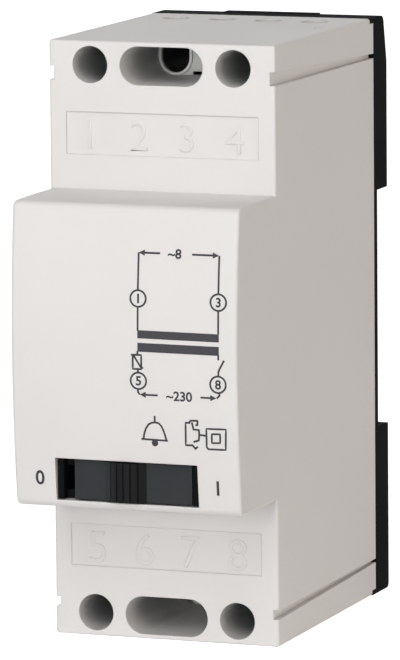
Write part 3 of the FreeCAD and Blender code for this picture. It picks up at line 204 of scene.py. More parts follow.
def metal(name, look):
    # Plated or rolled metal: fine lines along one axis carry the highlight
    material, tree = newMaterial(name)
    place = addNode(tree, "ShaderNodeTexCoord").outputs["Object"]
    stretched = addNode(tree, "ShaderNodeMapping", {"Vector": place, "Scale": look["lines"]})
    lines = addNode(tree, "ShaderNodeTexNoise", {
        "Vector": stretched.outputs[0], "Scale": 1 / (look["lineMm"] * mm), "Detail": 3.0})
    stains = addNode(tree, "ShaderNodeTexNoise", {
        "Vector": place, "Scale": 1 / (look["stainMm"] * mm), "Detail": 4.0})
    colour = addNode(tree, "ShaderNodeMix", {
        0: stains.outputs["Fac"], 6: linear(look["dark"]), 7: linear(look["light"])},
        data_type="RGBA")
    roughness = addNode(tree, "ShaderNodeMapRange", {
        "Value": lines.outputs["Fac"], "From Min": noiseSpan[0], "From Max": noiseSpan[1],
        "To Min": look["roughness"] - look["spread"], "To Max": look["roughness"] + look["spread"]})
    bump = addNode(tree, "ShaderNodeBump", {
        "Strength": look["lineStrength"], "Distance": look["lineDepthMm"] * mm,
        "Height": lines.outputs["Fac"]})
    shader = addNode(tree, "ShaderNodeBsdfPrincipled", {
        "Base Color": colour.outputs[2], "Roughness": roughness.outputs[0], "Metallic": 1.0})
    finishMaterial(tree, shader, bump.outputs["Normal"])
    return material


def banded(name, look):
    # Fine even bands along one axis: stacked sheets or turns of wire laid side by side
    material, tree = newMaterial(name)
    place = addNode(tree, "ShaderNodeTexCoord").outputs["Object"]
    bands = addNode(tree, "ShaderNodeTexWave", {
        "Vector": place, "Scale": waveLength / (look["bandMm"] * mm),
        "Distortion": look["distortion"], "Detail": 1.0, "Detail Scale": 2.0},
        wave_type="BANDS", bands_direction=look["axis"], wave_profile="SIN")
    colour = addNode(tree, "ShaderNodeMix", {
        0: bands.outputs["Fac"], 6: linear(look["dark"]), 7: linear(look["light"])},
        data_type="RGBA")
    bump = addNode(tree, "ShaderNodeBump", {
        "Strength": look["strength"], "Distance": look["depthMm"] * mm,
        "Height": bands.outputs["Fac"]})
    shader = addNode(tree, "ShaderNodeBsdfPrincipled", {
        "Base Color": colour.outputs[2], "Roughness": look["roughness"],
        "Metallic": look["metallic"]})
    finishMaterial(tree, shader, bump.outputs["Normal"])
    return material


# ABS from a spark-eroded tool: satin and nearly even. Its grain is under 0.1 mm, too fine to
# show, so it is drawn at 0.22 mm, and the other mouldings' grain likewise
housingLook = {
    "dark": "#d9d7d6", "light": "#e0dedd", "grainMm": 0.22, "cloudMm": 14, "grainStrength": 0.25,
    "grainDepthMm": 0.02, "roughness": 0.42, "spread": 0.04, "ior": 1.54, "edgeMm": 0.25,
    "specular": 0.4,
}
# Glass-filled polyamide: deep black and dull, because the fibres roughen its skin
baseLook = {
    "dark": "#121314", "light": "#18191a", "grainMm": 0.25, "cloudMm": 9, "grainStrength": 0.4,
    "grainDepthMm": 0.03, "roughness": 0.8, "spread": 0.04, "ior": 1.53, "edgeMm": 0.3,
    "specular": 0.02,
}
# Polyamide without glass, dyed charcoal: finer grained, so its pads look soft and even
sliderLook = {
    "dark": "#303335", "light": "#3a3d3f", "grainMm": 0.2, "cloudMm": 6, "grainStrength": 0.3,
    "grainDepthMm": 0.02, "roughness": 0.4, "spread": 0.04, "ior": 1.53, "edgeMm": 0.2,
    "specular": 0.05,
}
# Inner pieces: plain pale mouldings, satin and a little cloudy
innerLook = {
    "dark": "#cfccc6", "light": "#dad8d3", "grainMm": 0.3, "cloudMm": 8, "grainStrength": 0.3,
    "grainDepthMm": 0.02, "roughness": 0.48, "spread": 0.04, "ior": 1.53, "edgeMm": 0.2,
    "specular": 0.4,
}
# Polyamide in white for the carriers, and undyed, which is cream, for the bobbin
carrierLook = dict(innerLook, dark="#f0efec", light="#f6f5f3")
naturalLook = dict(innerLook, dark="#d8d2b8", light="#e4dfca")
# Paper pressed with resin: brown, with a faint gloss
boardLook = dict(innerLook, dark="#6f4a26", light="#8a5d31", roughness=0.4)
# Lacquer dipped over ceramic: blue and glossy
discLook = dict(innerLook, dark="#2a4d78", light="#35609a", roughness=0.25)
# Polyester film: amber and glossy, with slow waves where it is wound
tapeLook = dict(innerLook, dark="#c79a1e", light="#d9ad2c", roughness=0.22, grainMm=2.0)
# Zinc plating: pale and even, with fine marks in every direction
steelLook = {
    "dark": "#b9bcc0", "light": "#d4d6d9", "lines": (1, 1, 1), "lineMm": 0.25, "stainMm": 1.8,
    "lineStrength": 0.3, "lineDepthMm": 0.01, "roughness": 0.32, "spread": 0.07,
}
# Drawn spring wire: greyer, and smoother from the die
springLook = dict(steelLook, dark="#9ea1a6", light="#bfc2c6", roughness=0.25)
# Tinned brass and rolled bronze: warm, with the lines of the rolls along one axis
tinLook = dict(steelLook, dark="#bdb9a8", light="#d3cfc0", lines=(1, 1, 8), roughness=0.35)
bronzeLook = dict(steelLook, dark="#a8743a", light="#c48f4f", lines=(8, 1, 1), roughness=0.3)
# Stamped core sheets, 0.5 mm each, dark where their edges meet
coreLook = {
    "dark": "#3c3e42", "light": "#7d8086", "bandMm": 0.5, "distortion": 0.6, "axis": "X",
    "depthMm": 0.05, "strength": 0.8, "roughness": 0.45, "metallic": 0.8,
}
# Enamelled wire, turn beside turn: copper under clear brown varnish
copperLook = {
    "dark": "#5e2410", "light": "#b4602c", "bandMm": 0.4, "distortion": 0.8, "axis": "Y",
    "depthMm": 0.1, "strength": 0.8, "roughness": 0.3, "metallic": 0.9,
}


def leadLook(dark, light):
    # Extruded PVC: smooth, with a soft gloss
    return dict(innerLook, dark=dark, light=light, roughness=0.3, grainMm=0.5)


# Painted shade in the screwdriver shafts: halfRow is how far out they lie, row how far above or
# below the middle, and reach their half height. Each start is its distance in front of the rail
# seat: from there the walls turn to the darker colour of the painted shade over fade, which ends at
# length
hoodShaftShade = {
    "halfRow": 14.3, "row": 40.95, "reach": 2.9, "upperStart": 45.0, "lowerStart": 45.0,
    "fade": 9.0, "length": 20.0, "colour": "#9fa3a2",
    "slotHalf": 8.0, "slotFoot": 2.85, "slotTop": 1.0, "footShare": 0.0,
}
# In the carriers the painted shade turns the channels' walls nearly black within a millimetre
carrierShaftShade = dict(
    hoodShaftShade, reach=4.0, upperStart=29.5, lowerStart=21.6, fade=1.0, length=30.0,
    colour="#3c3c3a", footShare=1.0)
# Painted shade on the grip: where it starts along X, where it is full, where it stops, and its
# colour
gripShadeLook = {"left": -3.6, "crown": -1.2, "right": 2.9, "colour": "#1b1c1d"}

materials = {
    "grey_abs": mouldedPlastic("abs moulded light grey", housingLook, hoodShaftShade),
    "black_polyamide": mouldedPlastic("polyamide moulded black", baseLook),
    "switch_black": mouldedPlastic("polyamide switch body black", baseLook),
    "switch_grey": mouldedPlastic("polyamide slider charcoal", sliderLook, grip=gripShadeLook),
    "light_polyamide": mouldedPlastic("polyamide terminal carrier", carrierLook, carrierShaftShade),
    "natural_polyamide": mouldedPlastic("polyamide bobbin natural", naturalLook),
    "phenolic_board": mouldedPlastic("phenolic laminate board", boardLook),
    "thermistor_ceramic": mouldedPlastic("lacquered ceramic disc", discLook),
    "polyester_tape": mouldedPlastic("polyester tape amber", tapeLook),
    "zinc_plated_steel": metal("zinc plated steel", steelLook),
    "spring_steel": metal("spring steel wire", springLook),
    "tinned_brass": metal("tinned brass", tinLook),
    "spring_bronze": metal("spring bronze strip", bronzeLook),
    "laminated_steel": banded("stacked core sheets", coreLook),
    "enamelled_copper": banded("enamelled copper turns", copperLook),
    "red_pvc": mouldedPlastic("pvc insulation red", leadLook("#8e1616", "#a82020")),
    "brown_pvc": mouldedPlastic("pvc insulation brown", leadLook("#4a2a18", "#5c3722")),
    "blue_pvc": mouldedPlastic("pvc insulation blue", leadLook("#1c3f86", "#26509f")),
}

for part in frame["record"]["subparts"]:
    mesh = nodes[part["node"]].data
    mesh.materials.clear()
    mesh.materials.append(materials[part["material_slot"]])
print("materials:", len(materials))


# Printing on the nose: strokes and filled shapes are drawn flat, then a tree of nodes gives the
# strokes their width and lays everything on the bowed face as a film of ink

noseFace = {"halfHeight": 22.5 * mm, "crown": 1.4 * mm, "frontEdge": 60.2 * mm}
noseRadius = (noseFace["halfHeight"] ** 2 + noseFace["crown"] ** 2) / (2 * noseFace["crown"])
noseCentre = noseRadius - noseFace["frontEdge"] - noseFace["crown"]

# Millimetres on the nose, x to the right and z up from its middle
inkWork = {
    "lineWidth": 0.28, "film": 0.02, "sunk": 0.08,
    "left": 2.35, "right": 14.72, "top": 15.7, "bottom": -4.95,
    "ringRadius": 1.2, "upperRings": 9.05, "lowerRings": -2.95,
    "ringDigit": 1.4, "figureHeight": 1.45, "bold": 0.05,
    "bars": ((4.45, 3.27), (2.62, 1.32)), "barLeft": 2.25, "barRight": 14.82,
    "arrowLength": 0.95, "arrowHalf": 0.45,
    "bellFoot": -11.5, "bellLeft": 2.6, "bellRight": 6.7, "clapper": 0.5,
    "markZ": -18.2, "markHeight": 2.15,
}
inkLook = {
    "dark": "#2a2a2d", "light": "#434348", "speckMm": 0.35, "strength": 0.3, "depthMm": 0.01,
    "roughness": 0.45, "specular": 0.25,
}
figureShare = 0.72  # a figure's height over its font's size


def printingInk(name, look):
    # Pad-printing ink: an opaque dark film, greyer in specks where it lies thin
    material, tree = newMaterial(name)
    place = addNode(tree, "ShaderNodeTexCoord").outputs["Object"]
    specks = addNode(tree, "ShaderNodeTexNoise", {
        "Vector": place, "Scale": 1 / (look["speckMm"] * mm), "Detail": 3.0, "Roughness": 0.6})
    colour = addNode(tree, "ShaderNodeMix", {
        0: specks.outputs["Fac"], 6: linear(look["dark"]), 7: linear(look["light"])},
        data_type="RGBA")
    bump = addNode(tree, "ShaderNodeBump", {
        "Strength": look["strength"], "Distance": look["depthMm"] * mm,
        "Height": specks.outputs["Fac"]})
    shader = addNode(tree, "ShaderNodeBsdfPrincipled", {
        "Base Color": colour.outputs[2], "Roughness": look["roughness"],
        "Specular IOR Level": look["specular"]})
    finishMaterial(tree, shader, bump.outputs["Normal"])
    return material


def path(points, closed=False):
    # A stroke on the XZ plane, from places in millimetres
    return [Vector((x * mm, 0, z * mm)) for x, z in points], closed


def ring(x, z, radius, steps=32):
    turns = [math.radians(360 * i / steps) for i in range(steps)]
    return path([(x + radius * math.cos(t), z + radius * math.sin(t)) for t in turns], True)


def arrowHead(tipX, z, way):
    back, half = tipX - way * inkWork["arrowLength"], inkWork["arrowHalf"]
    return path([(tipX, z), (back, z + half), (back, z - half)], True)


def converted(holder):
    # The object's evaluated shape as a mesh of its own; the object itself goes
    bpy.context.collection.objects.link(holder)
    shape = bpy.context.evaluated_depsgraph_get()
    shape.update()
    mesh = bpy.data.meshes.new_from_object(holder.evaluated_get(shape))
    bpy.data.objects.remove(holder)
    return mesh


def standUp(mesh):
    # From the XY plane that curves and letters lie in to the XZ plane of the front faces
    mesh.transform(Matrix(((1, 0, 0, 0), (0, 0, -1, 0), (0, 1, 0, 0), (0, 0, 0, 1))))
    return mesh


def filledMesh(name, outlines):
    curve = bpy.data.curves.new(name, "CURVE")
    curve.dimensions = "2D"
    curve.fill_mode = "BOTH"
    for points, _ in outlines:
        spline = curve.splines.new("POLY")
        spline.points.add(len(points) - 1)
        for target, point in zip(spline.points, points):
            target.co = (point.x, point.z, 0, 1)
        spline.use_cyclic_u = True
    return standUp(converted(bpy.data.objects.new(name, curve)))


def digitMesh(name, text, x, z, height, thin=0.0, raised=0.0, edge=0.0):
    # Plain figures, centred at x and z; raised ones get a body and a rounded edge
    curve = bpy.data.curves.new(name, "FONT")
    curve.body = text
    curve.size = height * mm / figureShare
    curve.offset = -thin * mm
    curve.extrude = raised * mm
    curve.bevel_depth = edge * mm
    curve.bevel_resolution = 1
    curve.resolution_u = 8
    mesh = standUp(converted(bpy.data.objects.new(name, curve)))
    lows = [min(v.co[i] for v in mesh.vertices) for i in range(3)]
    highs = [max(v.co[i] for v in mesh.vertices) for i in range(3)]
    middle = Vector(((lows[0] + highs[0]) / 2, 0, (lows[2] + highs[2]) / 2))
    scale = height * mm / (highs[2] - lows[2])
    mesh.transform(Matrix.Translation(-middle))
    mesh.transform(Matrix.Diagonal((scale, 1, scale, 1)))
    mesh.transform(Matrix.Translation((x * mm, 0, z * mm)))
    return mesh


def joined(name, meshes):
    work = bmesh.new()
    for mesh in meshes:
        work.from_mesh(mesh)
        bpy.data.meshes.remove(mesh)
    mesh = bpy.data.meshes.new(name)
    work.to_mesh(mesh)
    work.free()
    return mesh


def edgeMesh(name, strokes):
    # Strokes as bare edges
    work = bmesh.new()
    for points, closed in strokes:
        corners = [work.verts.new(p) for p in points]
        pairs = list(zip(corners, corners[1:])) + ([(corners[-1], corners[0])] if closed else [])
        for pair in pairs:
            work.edges.new(pair)
    mesh = bpy.data.meshes.new(name)
    work.to_mesh(mesh)
    work.free()
    return mesh


def newTree(name, sockets):
    # A tree with one geometry in and out, and the named inputs that a user would change
    tree = bpy.data.node_groups.new(name, "GeometryNodeTree")
    tree.interface.new_socket("Geometry", in_out="INPUT", socket_type="NodeSocketGeometry")
    tree.interface.new_socket("Geometry", in_out="OUTPUT", socket_type="NodeSocketGeometry")
    for label, kind in sockets.items():
        tree.interface.new_socket(label, in_out="INPUT", socket_type=kind)
    return tree, addNode(tree, "NodeGroupInput").outputs


def closeTree(tree, geometry, material):
    real = addNode(tree, "GeometryNodeRealizeInstances", {0: geometry})
    painted = addNode(tree, "GeometryNodeSetMaterial", {
        "Geometry": real.outputs[0], "Material": material})
    addNode(tree, "NodeGroupOutput", {"Geometry": painted.outputs[0]})


def grown(name, mesh, tree, values):
    # Runs a tree on a mesh and returns the result as a plain mesh
    holder = bpy.data.objects.new(name, mesh)
    modifier = holder.modifiers.new(tree.name, "NODES")
    modifier.node_group = tree
    for item in tree.interface.items_tree:
        if item.in_out == "INPUT" and item.name in values:
            modifier[item.identifier] = values[item.name]
    return converted(holder)


def inkTree():
    tree, given = newTree("ink on bowed face", {
        "Line width": "NodeSocketFloat", "Film": "NodeSocketFloat", "Sunk": "NodeSocketFloat",
        "Face radius": "NodeSocketFloat", "Face centre": "NodeSocketFloat",
        "Ink": "NodeSocketMaterial"})
    # Bare edges are strokes, faces are filled shapes
    beside = addNode(tree, "GeometryNodeInputMeshEdgeNeighbors")
    bare = addNode(tree, "FunctionNodeCompare", {
        2: beside.outputs[0], 3: 0}, data_type="INT", operation="EQUAL")
    strokes = addNode(tree, "GeometryNodeMeshToCurve", {
        "Mesh": given["Geometry"], "Selection": bare.outputs[0]})
    fine = addNode(tree, "GeometryNodeSubdivideCurve", {"Curve": strokes.outputs[0], "Cuts": 5})
    facing = addNode(tree, "GeometryNodeSetCurveNormal", {
        "Curve": fine.outputs[0], "Normal": (0, -1, 0)}, mode="FREE")
    half = addNode(tree, "ShaderNodeMath", {0: given["Line width"], 1: 0.5}, operation="MULTIPLY")
    start = addNode(tree, "ShaderNodeCombineXYZ", {"Y": half.outputs[0]})
    minus = addNode(tree, "ShaderNodeMath", {0: half.outputs[0], 1: -1.0}, operation="MULTIPLY")
    end = addNode(tree, "ShaderNodeCombineXYZ", {"Y": minus.outputs[0]})
    nib = addNode(tree, "GeometryNodeCurvePrimitiveLine", {
        "Start": start.outputs[0], "End": end.outputs[0]})
    ribbons = addNode(tree, "GeometryNodeCurveToMesh", {
        "Curve": facing.outputs[0], "Profile Curve": nib.outputs[0]})
    filled = addNode(tree, "GeometryNodeDeleteGeometry", {
        "Geometry": given["Geometry"], "Selection": bare.outputs[0]}, domain="EDGE")
    flat = addNode(tree, "GeometryNodeJoinGeometry", {0: filled.outputs[0]})
    tree.links.new(ribbons.outputs[0], flat.inputs[0])
    # Onto the bow, a little under its surface
    place = addNode(tree, "ShaderNodeSeparateXYZ", {
        0: addNode(tree, "GeometryNodeInputPosition").outputs[0]})
    squareZ = addNode(tree, "ShaderNodeMath", {
        0: place.outputs["Z"], 1: place.outputs["Z"]}, operation="MULTIPLY")
    squareR = addNode(tree, "ShaderNodeMath", {
        0: given["Face radius"], 1: given["Face radius"]}, operation="MULTIPLY")
    rest = addNode(tree, "ShaderNodeMath", {
        0: squareR.outputs[0], 1: squareZ.outputs[0]}, operation="SUBTRACT")
    reach = addNode(tree, "ShaderNodeMath", {0: rest.outputs[0]}, operation="SQRT")
    surface = addNode(tree, "ShaderNodeMath", {
        0: given["Face centre"], 1: reach.outputs[0]}, operation="SUBTRACT")
    under = addNode(tree, "ShaderNodeMath", {
        0: surface.outputs[0], 1: given["Sunk"]}, operation="ADD")
    seat = addNode(tree, "ShaderNodeCombineXYZ", {
        "X": place.outputs["X"], "Y": under.outputs[0], "Z": place.outputs["Z"]})
    laid = addNode(tree, "GeometryNodeSetPosition", {
        "Geometry": flat.outputs[0], "Position": seat.outputs[0]})
    # Every face looks forward, then the film rises from it as a closed body
    normal = addNode(tree, "ShaderNodeSeparateXYZ", {
        0: addNode(tree, "GeometryNodeInputNormal").outputs[0]})
    away = addNode(tree, "FunctionNodeCompare", {
        0: normal.outputs["Y"], 1: 0.0}, data_type="FLOAT", operation="GREATER_THAN")
    front = addNode(tree, "GeometryNodeFlipFaces", {
        "Mesh": laid.outputs[0], "Selection": away.outputs[0]})
    rise = addNode(tree, "ShaderNodeMath", {
        0: given["Film"], 1: given["Sunk"]}, operation="ADD")
    film = addNode(tree, "GeometryNodeExtrudeMesh", {
        "Mesh": front.outputs[0], "Offset": (0, -1, 0), "Offset Scale": rise.outputs[0],
        "Individual": False}, mode="FACES")
    back = addNode(tree, "GeometryNodeFlipFaces", {"Mesh": front.outputs[0]})
    both = addNode(tree, "GeometryNodeJoinGeometry", {0: back.outputs[0]})
    tree.links.new(film.outputs[0], both.inputs[0])
    closed = addNode(tree, "GeometryNodeMergeByDistance", {
        "Geometry": both.outputs[0], "Distance": 0.002 * mm})
    closeTree(tree, closed.outputs[0], given["Ink"])
    return tree


def addPiece(name, mesh, body, material=None):
    piece = bpy.data.objects.new(name, mesh)
    bpy.context.collection.objects.link(piece)
    if material:
        mesh.materials.clear()
        mesh.materials.append(material)
    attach(piece, body)


def circuitStrokes():
    # Winding ends 1 and 3 above, supply terminals 5 and 8 below, a thermistor and a switch
    w = inkWork
    left, right, r = w["left"], w["right"], w["ringRadius"]
    upper, lower = w["upperRings"], w["lowerRings"]
    barTop, barFoot = w["bars"][0][0], w["bars"][1][1]
    return [
        ring(left, upper, r), ring(right, upper - 0.08, r),
        ring(left, lower, r), ring(right - 0.08, lower, r),
        path([(left, w["top"]), (left - 0.04, upper + r)]),
        path([(right + 0.05, w["top"]), (right, upper - 0.08 + r)]),
        path([(left - 0.05, upper - r), (left - 0.05, barTop - 0.1)]),
        path([(right, upper - 0.08 - r), (right, barTop - 0.1)]),
        path([(left - 0.1, barFoot + 0.1), (left - 0.1, 0.85)]),
        path([(left - 0.1, -1.22), (left, lower + r)]),
        path([(1.5, 0.84), (2.82, 0.84), (2.82, -1.22), (1.5, -1.22)], True),
        path([(1.25, 0.84), (1.62, 0.76), (2.8, -1.02), (3.12, -1.02)]),
        path([(right, barFoot + 0.1), (right, 0.62)]),
        path([(right, lower + r), (right, -1.12), (right + 0.16, -0.7), (15.6, 0.6)]),
        path([(left - 0.12, lower - r), (left - 0.08, -4.62), (left + 0.15, w["bottom"])]),
        path([(right + 0.1, lower - r), (right + 0.1, -4.58), (right - 0.3, w["bottom"])]),
        path([(left + 0.8, w["top"]), (5.65, w["top"])]),
        path([(10.6, w["top"]), (right - 0.8, w["top"])]),
        path([(left + 1.0, w["bottom"]), (5.3, w["bottom"])]),
        path([(11.9, w["bottom"]), (right - 1.2, w["bottom"])]),
    ]


def signStrokes():
    # A bell, the sign of a short-circuit proof transformer, and two squares one in the other
    w = inkWork
    foot = w["bellFoot"]
    return [
        path([(4.75, -8.0), (4.75, -8.95)]),
        path([(2.92, foot + 0.02), (3.04, -10.77), (3.32, -9.95), (3.76, -9.3), (4.22, -9.04),
              (4.75, -8.95), (5.35, -9.04), (5.79, -9.5), (6.12, -10.28), (6.33, -10.95),
              (6.48, foot)]),
        path([(w["bellLeft"], foot), (w["bellRight"], foot - 0.08)]),
        path([(10.25, -8.76), (9.52, -8.76), (9.46, -12.08), (10.62, -12.05)]),
        path([(10.08, -8.72), (10.3, -8.42), (11.36, -8.38), (11.34, -9.04), (11.02, -9.04)]),
        path([(10.5, -8.66), (10.7, -9.7), (11.56, -9.72), (11.58, -10.45), (11.5, -11.27),
              (10.66, -11.55)]),
        path([(10.5, -12.05), (10.93, -12.55), (11.3, -12.2)]),
        path([(11.58, -10.45), (12.62, -10.52)]),
        path([(12.7, -9.5), (15.72, -9.46), (15.6, -12.47), (12.95, -12.5), (12.68, -12.25)], True),
        path([(13.52, -10.24), (14.8, -10.2), (14.78, -11.5), (13.5, -11.56)], True),
    ]


def noseShapes():
    # Filled shapes: core bars, arrow heads, the bell's clapper and plain figures
    w = inkWork
    left, right = w["left"], w["right"]
    outlines = [
        path([(w["barLeft"], high), (w["barRight"], high - 0.06),
              (w["barRight"], low - 0.06), (w["barLeft"], low)], True) for high, low in w["bars"]]
    outlines += [
        arrowHead(left, w["top"], -1), arrowHead(right, w["top"], 1),
        arrowHead(left + 0.15, w["bottom"], -1), arrowHead(right - 0.35, w["bottom"], 1),
        ring(4.68, w["bellFoot"] - w["clapper"], w["clapper"]),
    ]
    small, z, bold = w["ringDigit"], w["upperRings"], -w["bold"]
    figures = [
        ("1", left, z, small, bold), ("3", right, z - 0.08, small, bold),
        ("5", left, w["lowerRings"], small, bold),
        ("8", right - 0.08, w["lowerRings"], small, bold),
        ("~8", 7.9, w["top"], w["figureHeight"], bold),
        ("~230", 8.6, w["bottom"], w["figureHeight"], bold),
        ("0", -13.57, w["markZ"] + 0.1, w["markHeight"], bold),
        ("I", 14.16, w["markZ"] - 0.07, w["markHeight"], bold),
    ]
    meshes = [filledMesh("shapes", outlines)]
    return meshes + [digitMesh("figure", *figure) for figure in figures]


ink = printingInk("pad printing ink", inkLook)
noseStrokes = edgeMesh("strokes", circuitStrokes() + signStrokes())
noseFlat = joined("nosePrint", noseShapes() + [noseStrokes])
nosePrint = grown("nosePrint", noseFlat, inkTree(), {
    "Line width": inkWork["lineWidth"] * mm, "Film": inkWork["film"] * mm,
    "Sunk": inkWork["sunk"] * mm, "Face radius": noseRadius, "Face centre": noseCentre,
    "Ink": ink})
addPiece("nosePrint", nosePrint, "case")
print("nose print:", len(nosePrint.polygons), "faces")


# Terminal numbers, moulded proud of the two sunk fields

numberWork = {
    "fieldFace": 45.0, "raised": 0.16, "edge": 0.05, "thin": 0.09,
    "upper": {"z": 30.6, "height": 4.3, "places": {"1": -11.4, "2": -3.6, "3": 3.84, "4": 11.33}},
    "lower": {"z": -31.05, "height": 4.7, "places": {"5": -10.9, "6": -3.4, "7": 3.9, "8": 11.3}},
}


def mouldedNumbers():
    meshes = []
    for row in (numberWork["upper"], numberWork["lower"]):
        for text, x in row["places"].items():
            mesh = digitMesh("number", text, x, row["z"], row["height"], numberWork["thin"],
                             numberWork["raised"] - numberWork["edge"], numberWork["edge"])
            mesh.transform(Matrix.Translation((0, -numberWork["fieldFace"] * mm, 0)))
            meshes.append(mesh)
    return joined("mouldedNumbers", meshes)


addPiece("mouldedNumbers", mouldedNumbers(), "case", materials["grey_abs"])
print("moulded numbers")


# Threads on the four terminal screws: one ridge wound along a helix at each screw

threadWork = {
    "pitch": 0.5, "depth": 0.16, "radius": 1.48, "front": 18.7, "back": 9.6, "stepsPerTurn": 20,
    "row": 40.95, "upper": (-11.2125, 3.7375), "lower": (-11.2125, 11.2125),
}

# Springs behind the rail latches: round wire, the end turns lying close and the others open.
# closedShare draws the turns towards the ends, by that share of the length at most

springWork = {"wire": 0.2, "turns": 7.0, "stepsPerTurn": 24, "sides": 8, "closedShare": 0.11}


def woundTree():
    # A wire or ridge wound along Z from each given point, then turned to its own axis
    tree, given = newTree("wound along a helix", {
        "Turns": "NodeSocketFloat", "Coil radius": "NodeSocketFloat", "Length": "NodeSocketFloat",
        "Wire radius": "NodeSocketFloat", "Wire sides": "NodeSocketInt",
        "Steps per turn": "NodeSocketInt", "Closed ends": "NodeSocketFloat",
        "Axis turn": "NodeSocketVector", "Finish": "NodeSocketMaterial"})
    helix = addNode(tree, "GeometryNodeCurveSpiral", {
        "Resolution": given["Steps per turn"], "Rotations": given["Turns"],
        "Start Radius": given["Coil radius"], "End Radius": given["Coil radius"],
        "Height": given["Length"]})
    # The height runs slowly at both ends, so that the turns close up there
    place = addNode(tree, "ShaderNodeSeparateXYZ", {
        0: addNode(tree, "GeometryNodeInputPosition").outputs[0]})
    share = addNode(tree, "ShaderNodeMath", {
        0: place.outputs["Z"], 1: given["Length"]}, operation="DIVIDE")
    turned = addNode(tree, "ShaderNodeMath", {
        0: share.outputs[0], 1: 2 * math.pi}, operation="MULTIPLY")
    wave = addNode(tree, "ShaderNodeMath", {0: turned.outputs[0]}, operation="SINE")
    held = addNode(tree, "ShaderNodeMath", {
        0: wave.outputs[0], 1: given["Closed ends"]}, operation="MULTIPLY")
    moved = addNode(tree, "ShaderNodeMath", {
        0: held.outputs[0], 1: given["Length"]}, operation="MULTIPLY")
    down = addNode(tree, "ShaderNodeMath", {0: moved.outputs[0], 1: -1.0}, operation="MULTIPLY")
    shift = addNode(tree, "ShaderNodeCombineXYZ", {"Z": down.outputs[0]})
    laid = addNode(tree, "GeometryNodeSetPosition", {
        "Geometry": helix.outputs[0], "Offset": shift.outputs[0]})
    section = addNode(tree, "GeometryNodeCurvePrimitiveCircle", {
        "Resolution": given["Wire sides"], "Radius": given["Wire radius"]}, mode="RADIUS")
    wound = addNode(tree, "GeometryNodeCurveToMesh", {
        "Curve": laid.outputs[0], "Profile Curve": section.outputs[0], "Fill Caps": True})
    along = addNode(tree, "GeometryNodeTransform", {
        "Geometry": wound.outputs[0], "Rotation": given["Axis turn"]})
    copies = addNode(tree, "GeometryNodeInstanceOnPoints", {
        "Points": given["Geometry"], "Instance": along.outputs[0]})
    closeTree(tree, copies.outputs[0], given["Finish"])
    return tree


def pointMesh(name, places):
    mesh = bpy.data.meshes.new(name)
    mesh.from_pydata(places, [], [])
    return mesh


def screwPlaces():
    w = threadWork
    places = [(x * mm, -w["front"] * mm, w["row"] * mm) for x in w["upper"]]
    return places + [(x * mm, -w["front"] * mm, -w["row"] * mm) for x in w["lower"]]


wound = woundTree()
threadLength = threadWork["front"] - threadWork["back"]
threads = grown("screwThreads", pointMesh("screws", screwPlaces()), wound, {
    "Turns": threadLength / threadWork["pitch"], "Coil radius": threadWork["radius"] * mm,
    "Length": threadLength * mm, "Wire radius": threadWork["depth"] * mm, "Wire sides": 3,
    "Steps per turn": threadWork["stepsPerTurn"], "Closed ends": 0.0,
    "Axis turn": (math.radians(-90), 0.0, 0.0), "Finish": materials["zinc_plated_steel"]})
addPiece("screwThreads", threads, "case")
print("screw threads:", len(threads.polygons), "faces")


def latchSpring(name, node):
    # One end leans on the latch and the other on the base's post, and the coil follows both
    low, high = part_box(node)
    middle = (low + high) / 2
    wire = springWork["wire"] * mm
    foot = (middle.x, middle.y, low.z + wire)
    mesh = grown(name, pointMesh(name, [foot]), wound, {
        "Turns": springWork["turns"], "Coil radius": (high.x - low.x) / 2 - wire,
        "Length": high.z - low.z - 2 * wire, "Wire radius": wire,
        "Wire sides": springWork["sides"], "Steps per turn": springWork["stepsPerTurn"],
        "Closed ends": springWork["closedShare"], "Axis turn": (0.0, 0.0, 0.0),
        "Finish": materials["spring_steel"]})
    spring = bpy.data.objects.new(name, mesh)
    bpy.context.collection.objects.link(spring)
    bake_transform(spring)
    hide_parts(node)


latchSpring("upperLatchSpring", "upper_latch_spring")
latchSpring("lowerLatchSpring", "lower_latch_spring")
print("latch springs")


# Camera: a long lens from the front right, a little above

cameraLook = {
    "place": (313.1 * mm, -854.0 * mm, 131.65 * mm),
    "right": (0.935, 0.35454, -0.00911),
    "down": (0.04441, -0.14254, -0.98879),
    "lens": 325.0, "sensor": 36, "shiftX": 0.0055, "shiftY": 0.0106, "clipEnd": 20,
}


def makeCamera():
    data = bpy.data.cameras.new("camera")
    data.sensor_width = cameraLook["sensor"]
    data.sensor_fit = "AUTO"
    data.lens = cameraLook["lens"]
    data.shift_x = cameraLook["shiftX"]
    data.shift_y = cameraLook["shiftY"]
    data.clip_end = cameraLook["clipEnd"]
    camera = bpy.data.objects.new("camera", data)
    bpy.context.collection.objects.link(camera)
    right = Vector(cameraLook["right"]).normalized()
    up = -Vector(cameraLook["down"]).normalized()
    back = right.cross(up)
    turn = Matrix((right, up, back)).transposed().to_4x4()
    camera.matrix_world = Matrix.Translation(cameraLook["place"]) @ turn
    bpy.context.scene.camera = camera


def seenDirectly(tree):
    # 1 to the camera, in reflections and through glass, and 0 to every other ray
    ray = addNode(tree, "ShaderNodeLightPath").outputs
    mirrored = addNode(tree, "ShaderNodeMath", {
        0: ray["Is Camera Ray"], 1: ray["Is Glossy Ray"]}, operation="MAXIMUM")
    seen = addNode(tree, "ShaderNodeMath", {
        0: mirrored.outputs[0], 1: ray["Is Transmission Ray"]}, operation="MAXIMUM")
    return seen.outputs[0]


floorLook = {"colour": "#fafafa", "glow": 0.885, "halfSize": 3.0}


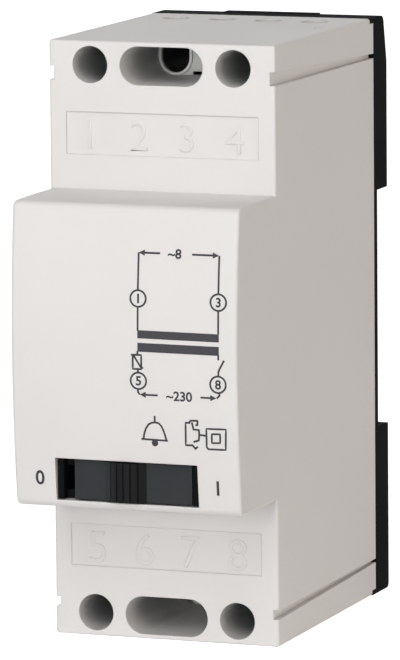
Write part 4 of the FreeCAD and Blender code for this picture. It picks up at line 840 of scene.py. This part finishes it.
def makeFloor():
    # Matt white paint that also glows where it is seen directly, and so passes for the backdrop
    material, tree = newMaterial("floor paint white")
    matt = addNode(tree, "ShaderNodeBsdfDiffuse", {"Color": linear(floorLook["colour"])})
    glow = addNode(tree, "ShaderNodeEmission", {
        "Color": (1, 1, 1, 1), "Strength": floorLook["glow"]})
    both = addNode(tree, "ShaderNodeAddShader", {0: matt.outputs[0], 1: glow.outputs[0]})
    mixed = addNode(tree, "ShaderNodeMixShader", {
        0: seenDirectly(tree), 1: matt.outputs[0], 2: both.outputs[0]})
    addNode(tree, "ShaderNodeOutputMaterial", {"Surface": mixed.outputs[0]})
    mesh = bpy.data.meshes.new("floor")
    low, half = cadBox[0][2], floorLook["halfSize"]
    corners = [(-half, -half, low), (half, -half, low), (half, half, low), (-half, half, low)]
    mesh.from_pydata(corners, [], [(0, 1, 2, 3)])
    mesh.materials.append(material)
    floor = bpy.data.objects.new("floor", mesh)
    bpy.context.collection.objects.link(floor)


worldLook = {"light": 0.03, "backdrop": 1.0}


def makeWorld():
    # White where it is seen directly, and a faint fill light to everything else
    world = bpy.data.worlds.new("studio")
    world.use_nodes = True
    tree = world.node_tree
    tree.nodes.clear()
    dim = addNode(tree, "ShaderNodeBackground", {
        "Color": (1, 1, 1, 1), "Strength": worldLook["light"]})
    bright = addNode(tree, "ShaderNodeBackground", {
        "Color": (1, 1, 1, 1), "Strength": worldLook["backdrop"]})
    mixed = addNode(tree, "ShaderNodeMixShader", {
        0: seenDirectly(tree), 1: dim.outputs[0], 2: bright.outputs[0]})
    addNode(tree, "ShaderNodeOutputWorld", {"Surface": mixed.outputs[0]})
    bpy.context.scene.world = world


# Square lamps that all aim at the middle of the object: metres and watts
lampAim = (0, -0.03, 0)
lampLook = {
    "front": {"place": (-0.04, -1.2, 0.08), "size": 0.5, "power": 6.5, "colour": (1, 1, 1)},
    "above": {"place": (0.0, -1.35, 1.2), "size": 1.5, "power": 16.2, "colour": (1, 1, 1)},
    "top": {"place": (0.0, -0.2, 1.2), "size": 0.7, "power": 1.33, "colour": (1, 0.96, 0.93)},
    "side": {"place": (1.1, -0.3, 0.1), "size": 0.8, "power": 5.25, "colour": (1, 0.875, 0.755)},
    "behind": {"place": (-0.6, 1.1, 0.0), "size": 0.08, "power": 3.0, "colour": (1, 1, 1)},
}


def makeLamps():
    for name, look in lampLook.items():
        data = bpy.data.lights.new(name, "AREA")
        data.shape = "SQUARE"
        data.size = look["size"]
        data.energy = look["power"]
        data.color = look["colour"]
        lamp = bpy.data.objects.new(name, data)
        lamp.location = look["place"]
        aim = Vector(lampAim) - Vector(look["place"])
        lamp.rotation_euler = aim.to_track_quat("-Z", "Y").to_euler()
        bpy.context.collection.objects.link(lamp)


makeCamera()
makeFloor()
makeWorld()
makeLamps()
bpy.context.scene.view_settings.view_transform = "Standard"
print("camera, floor and light")
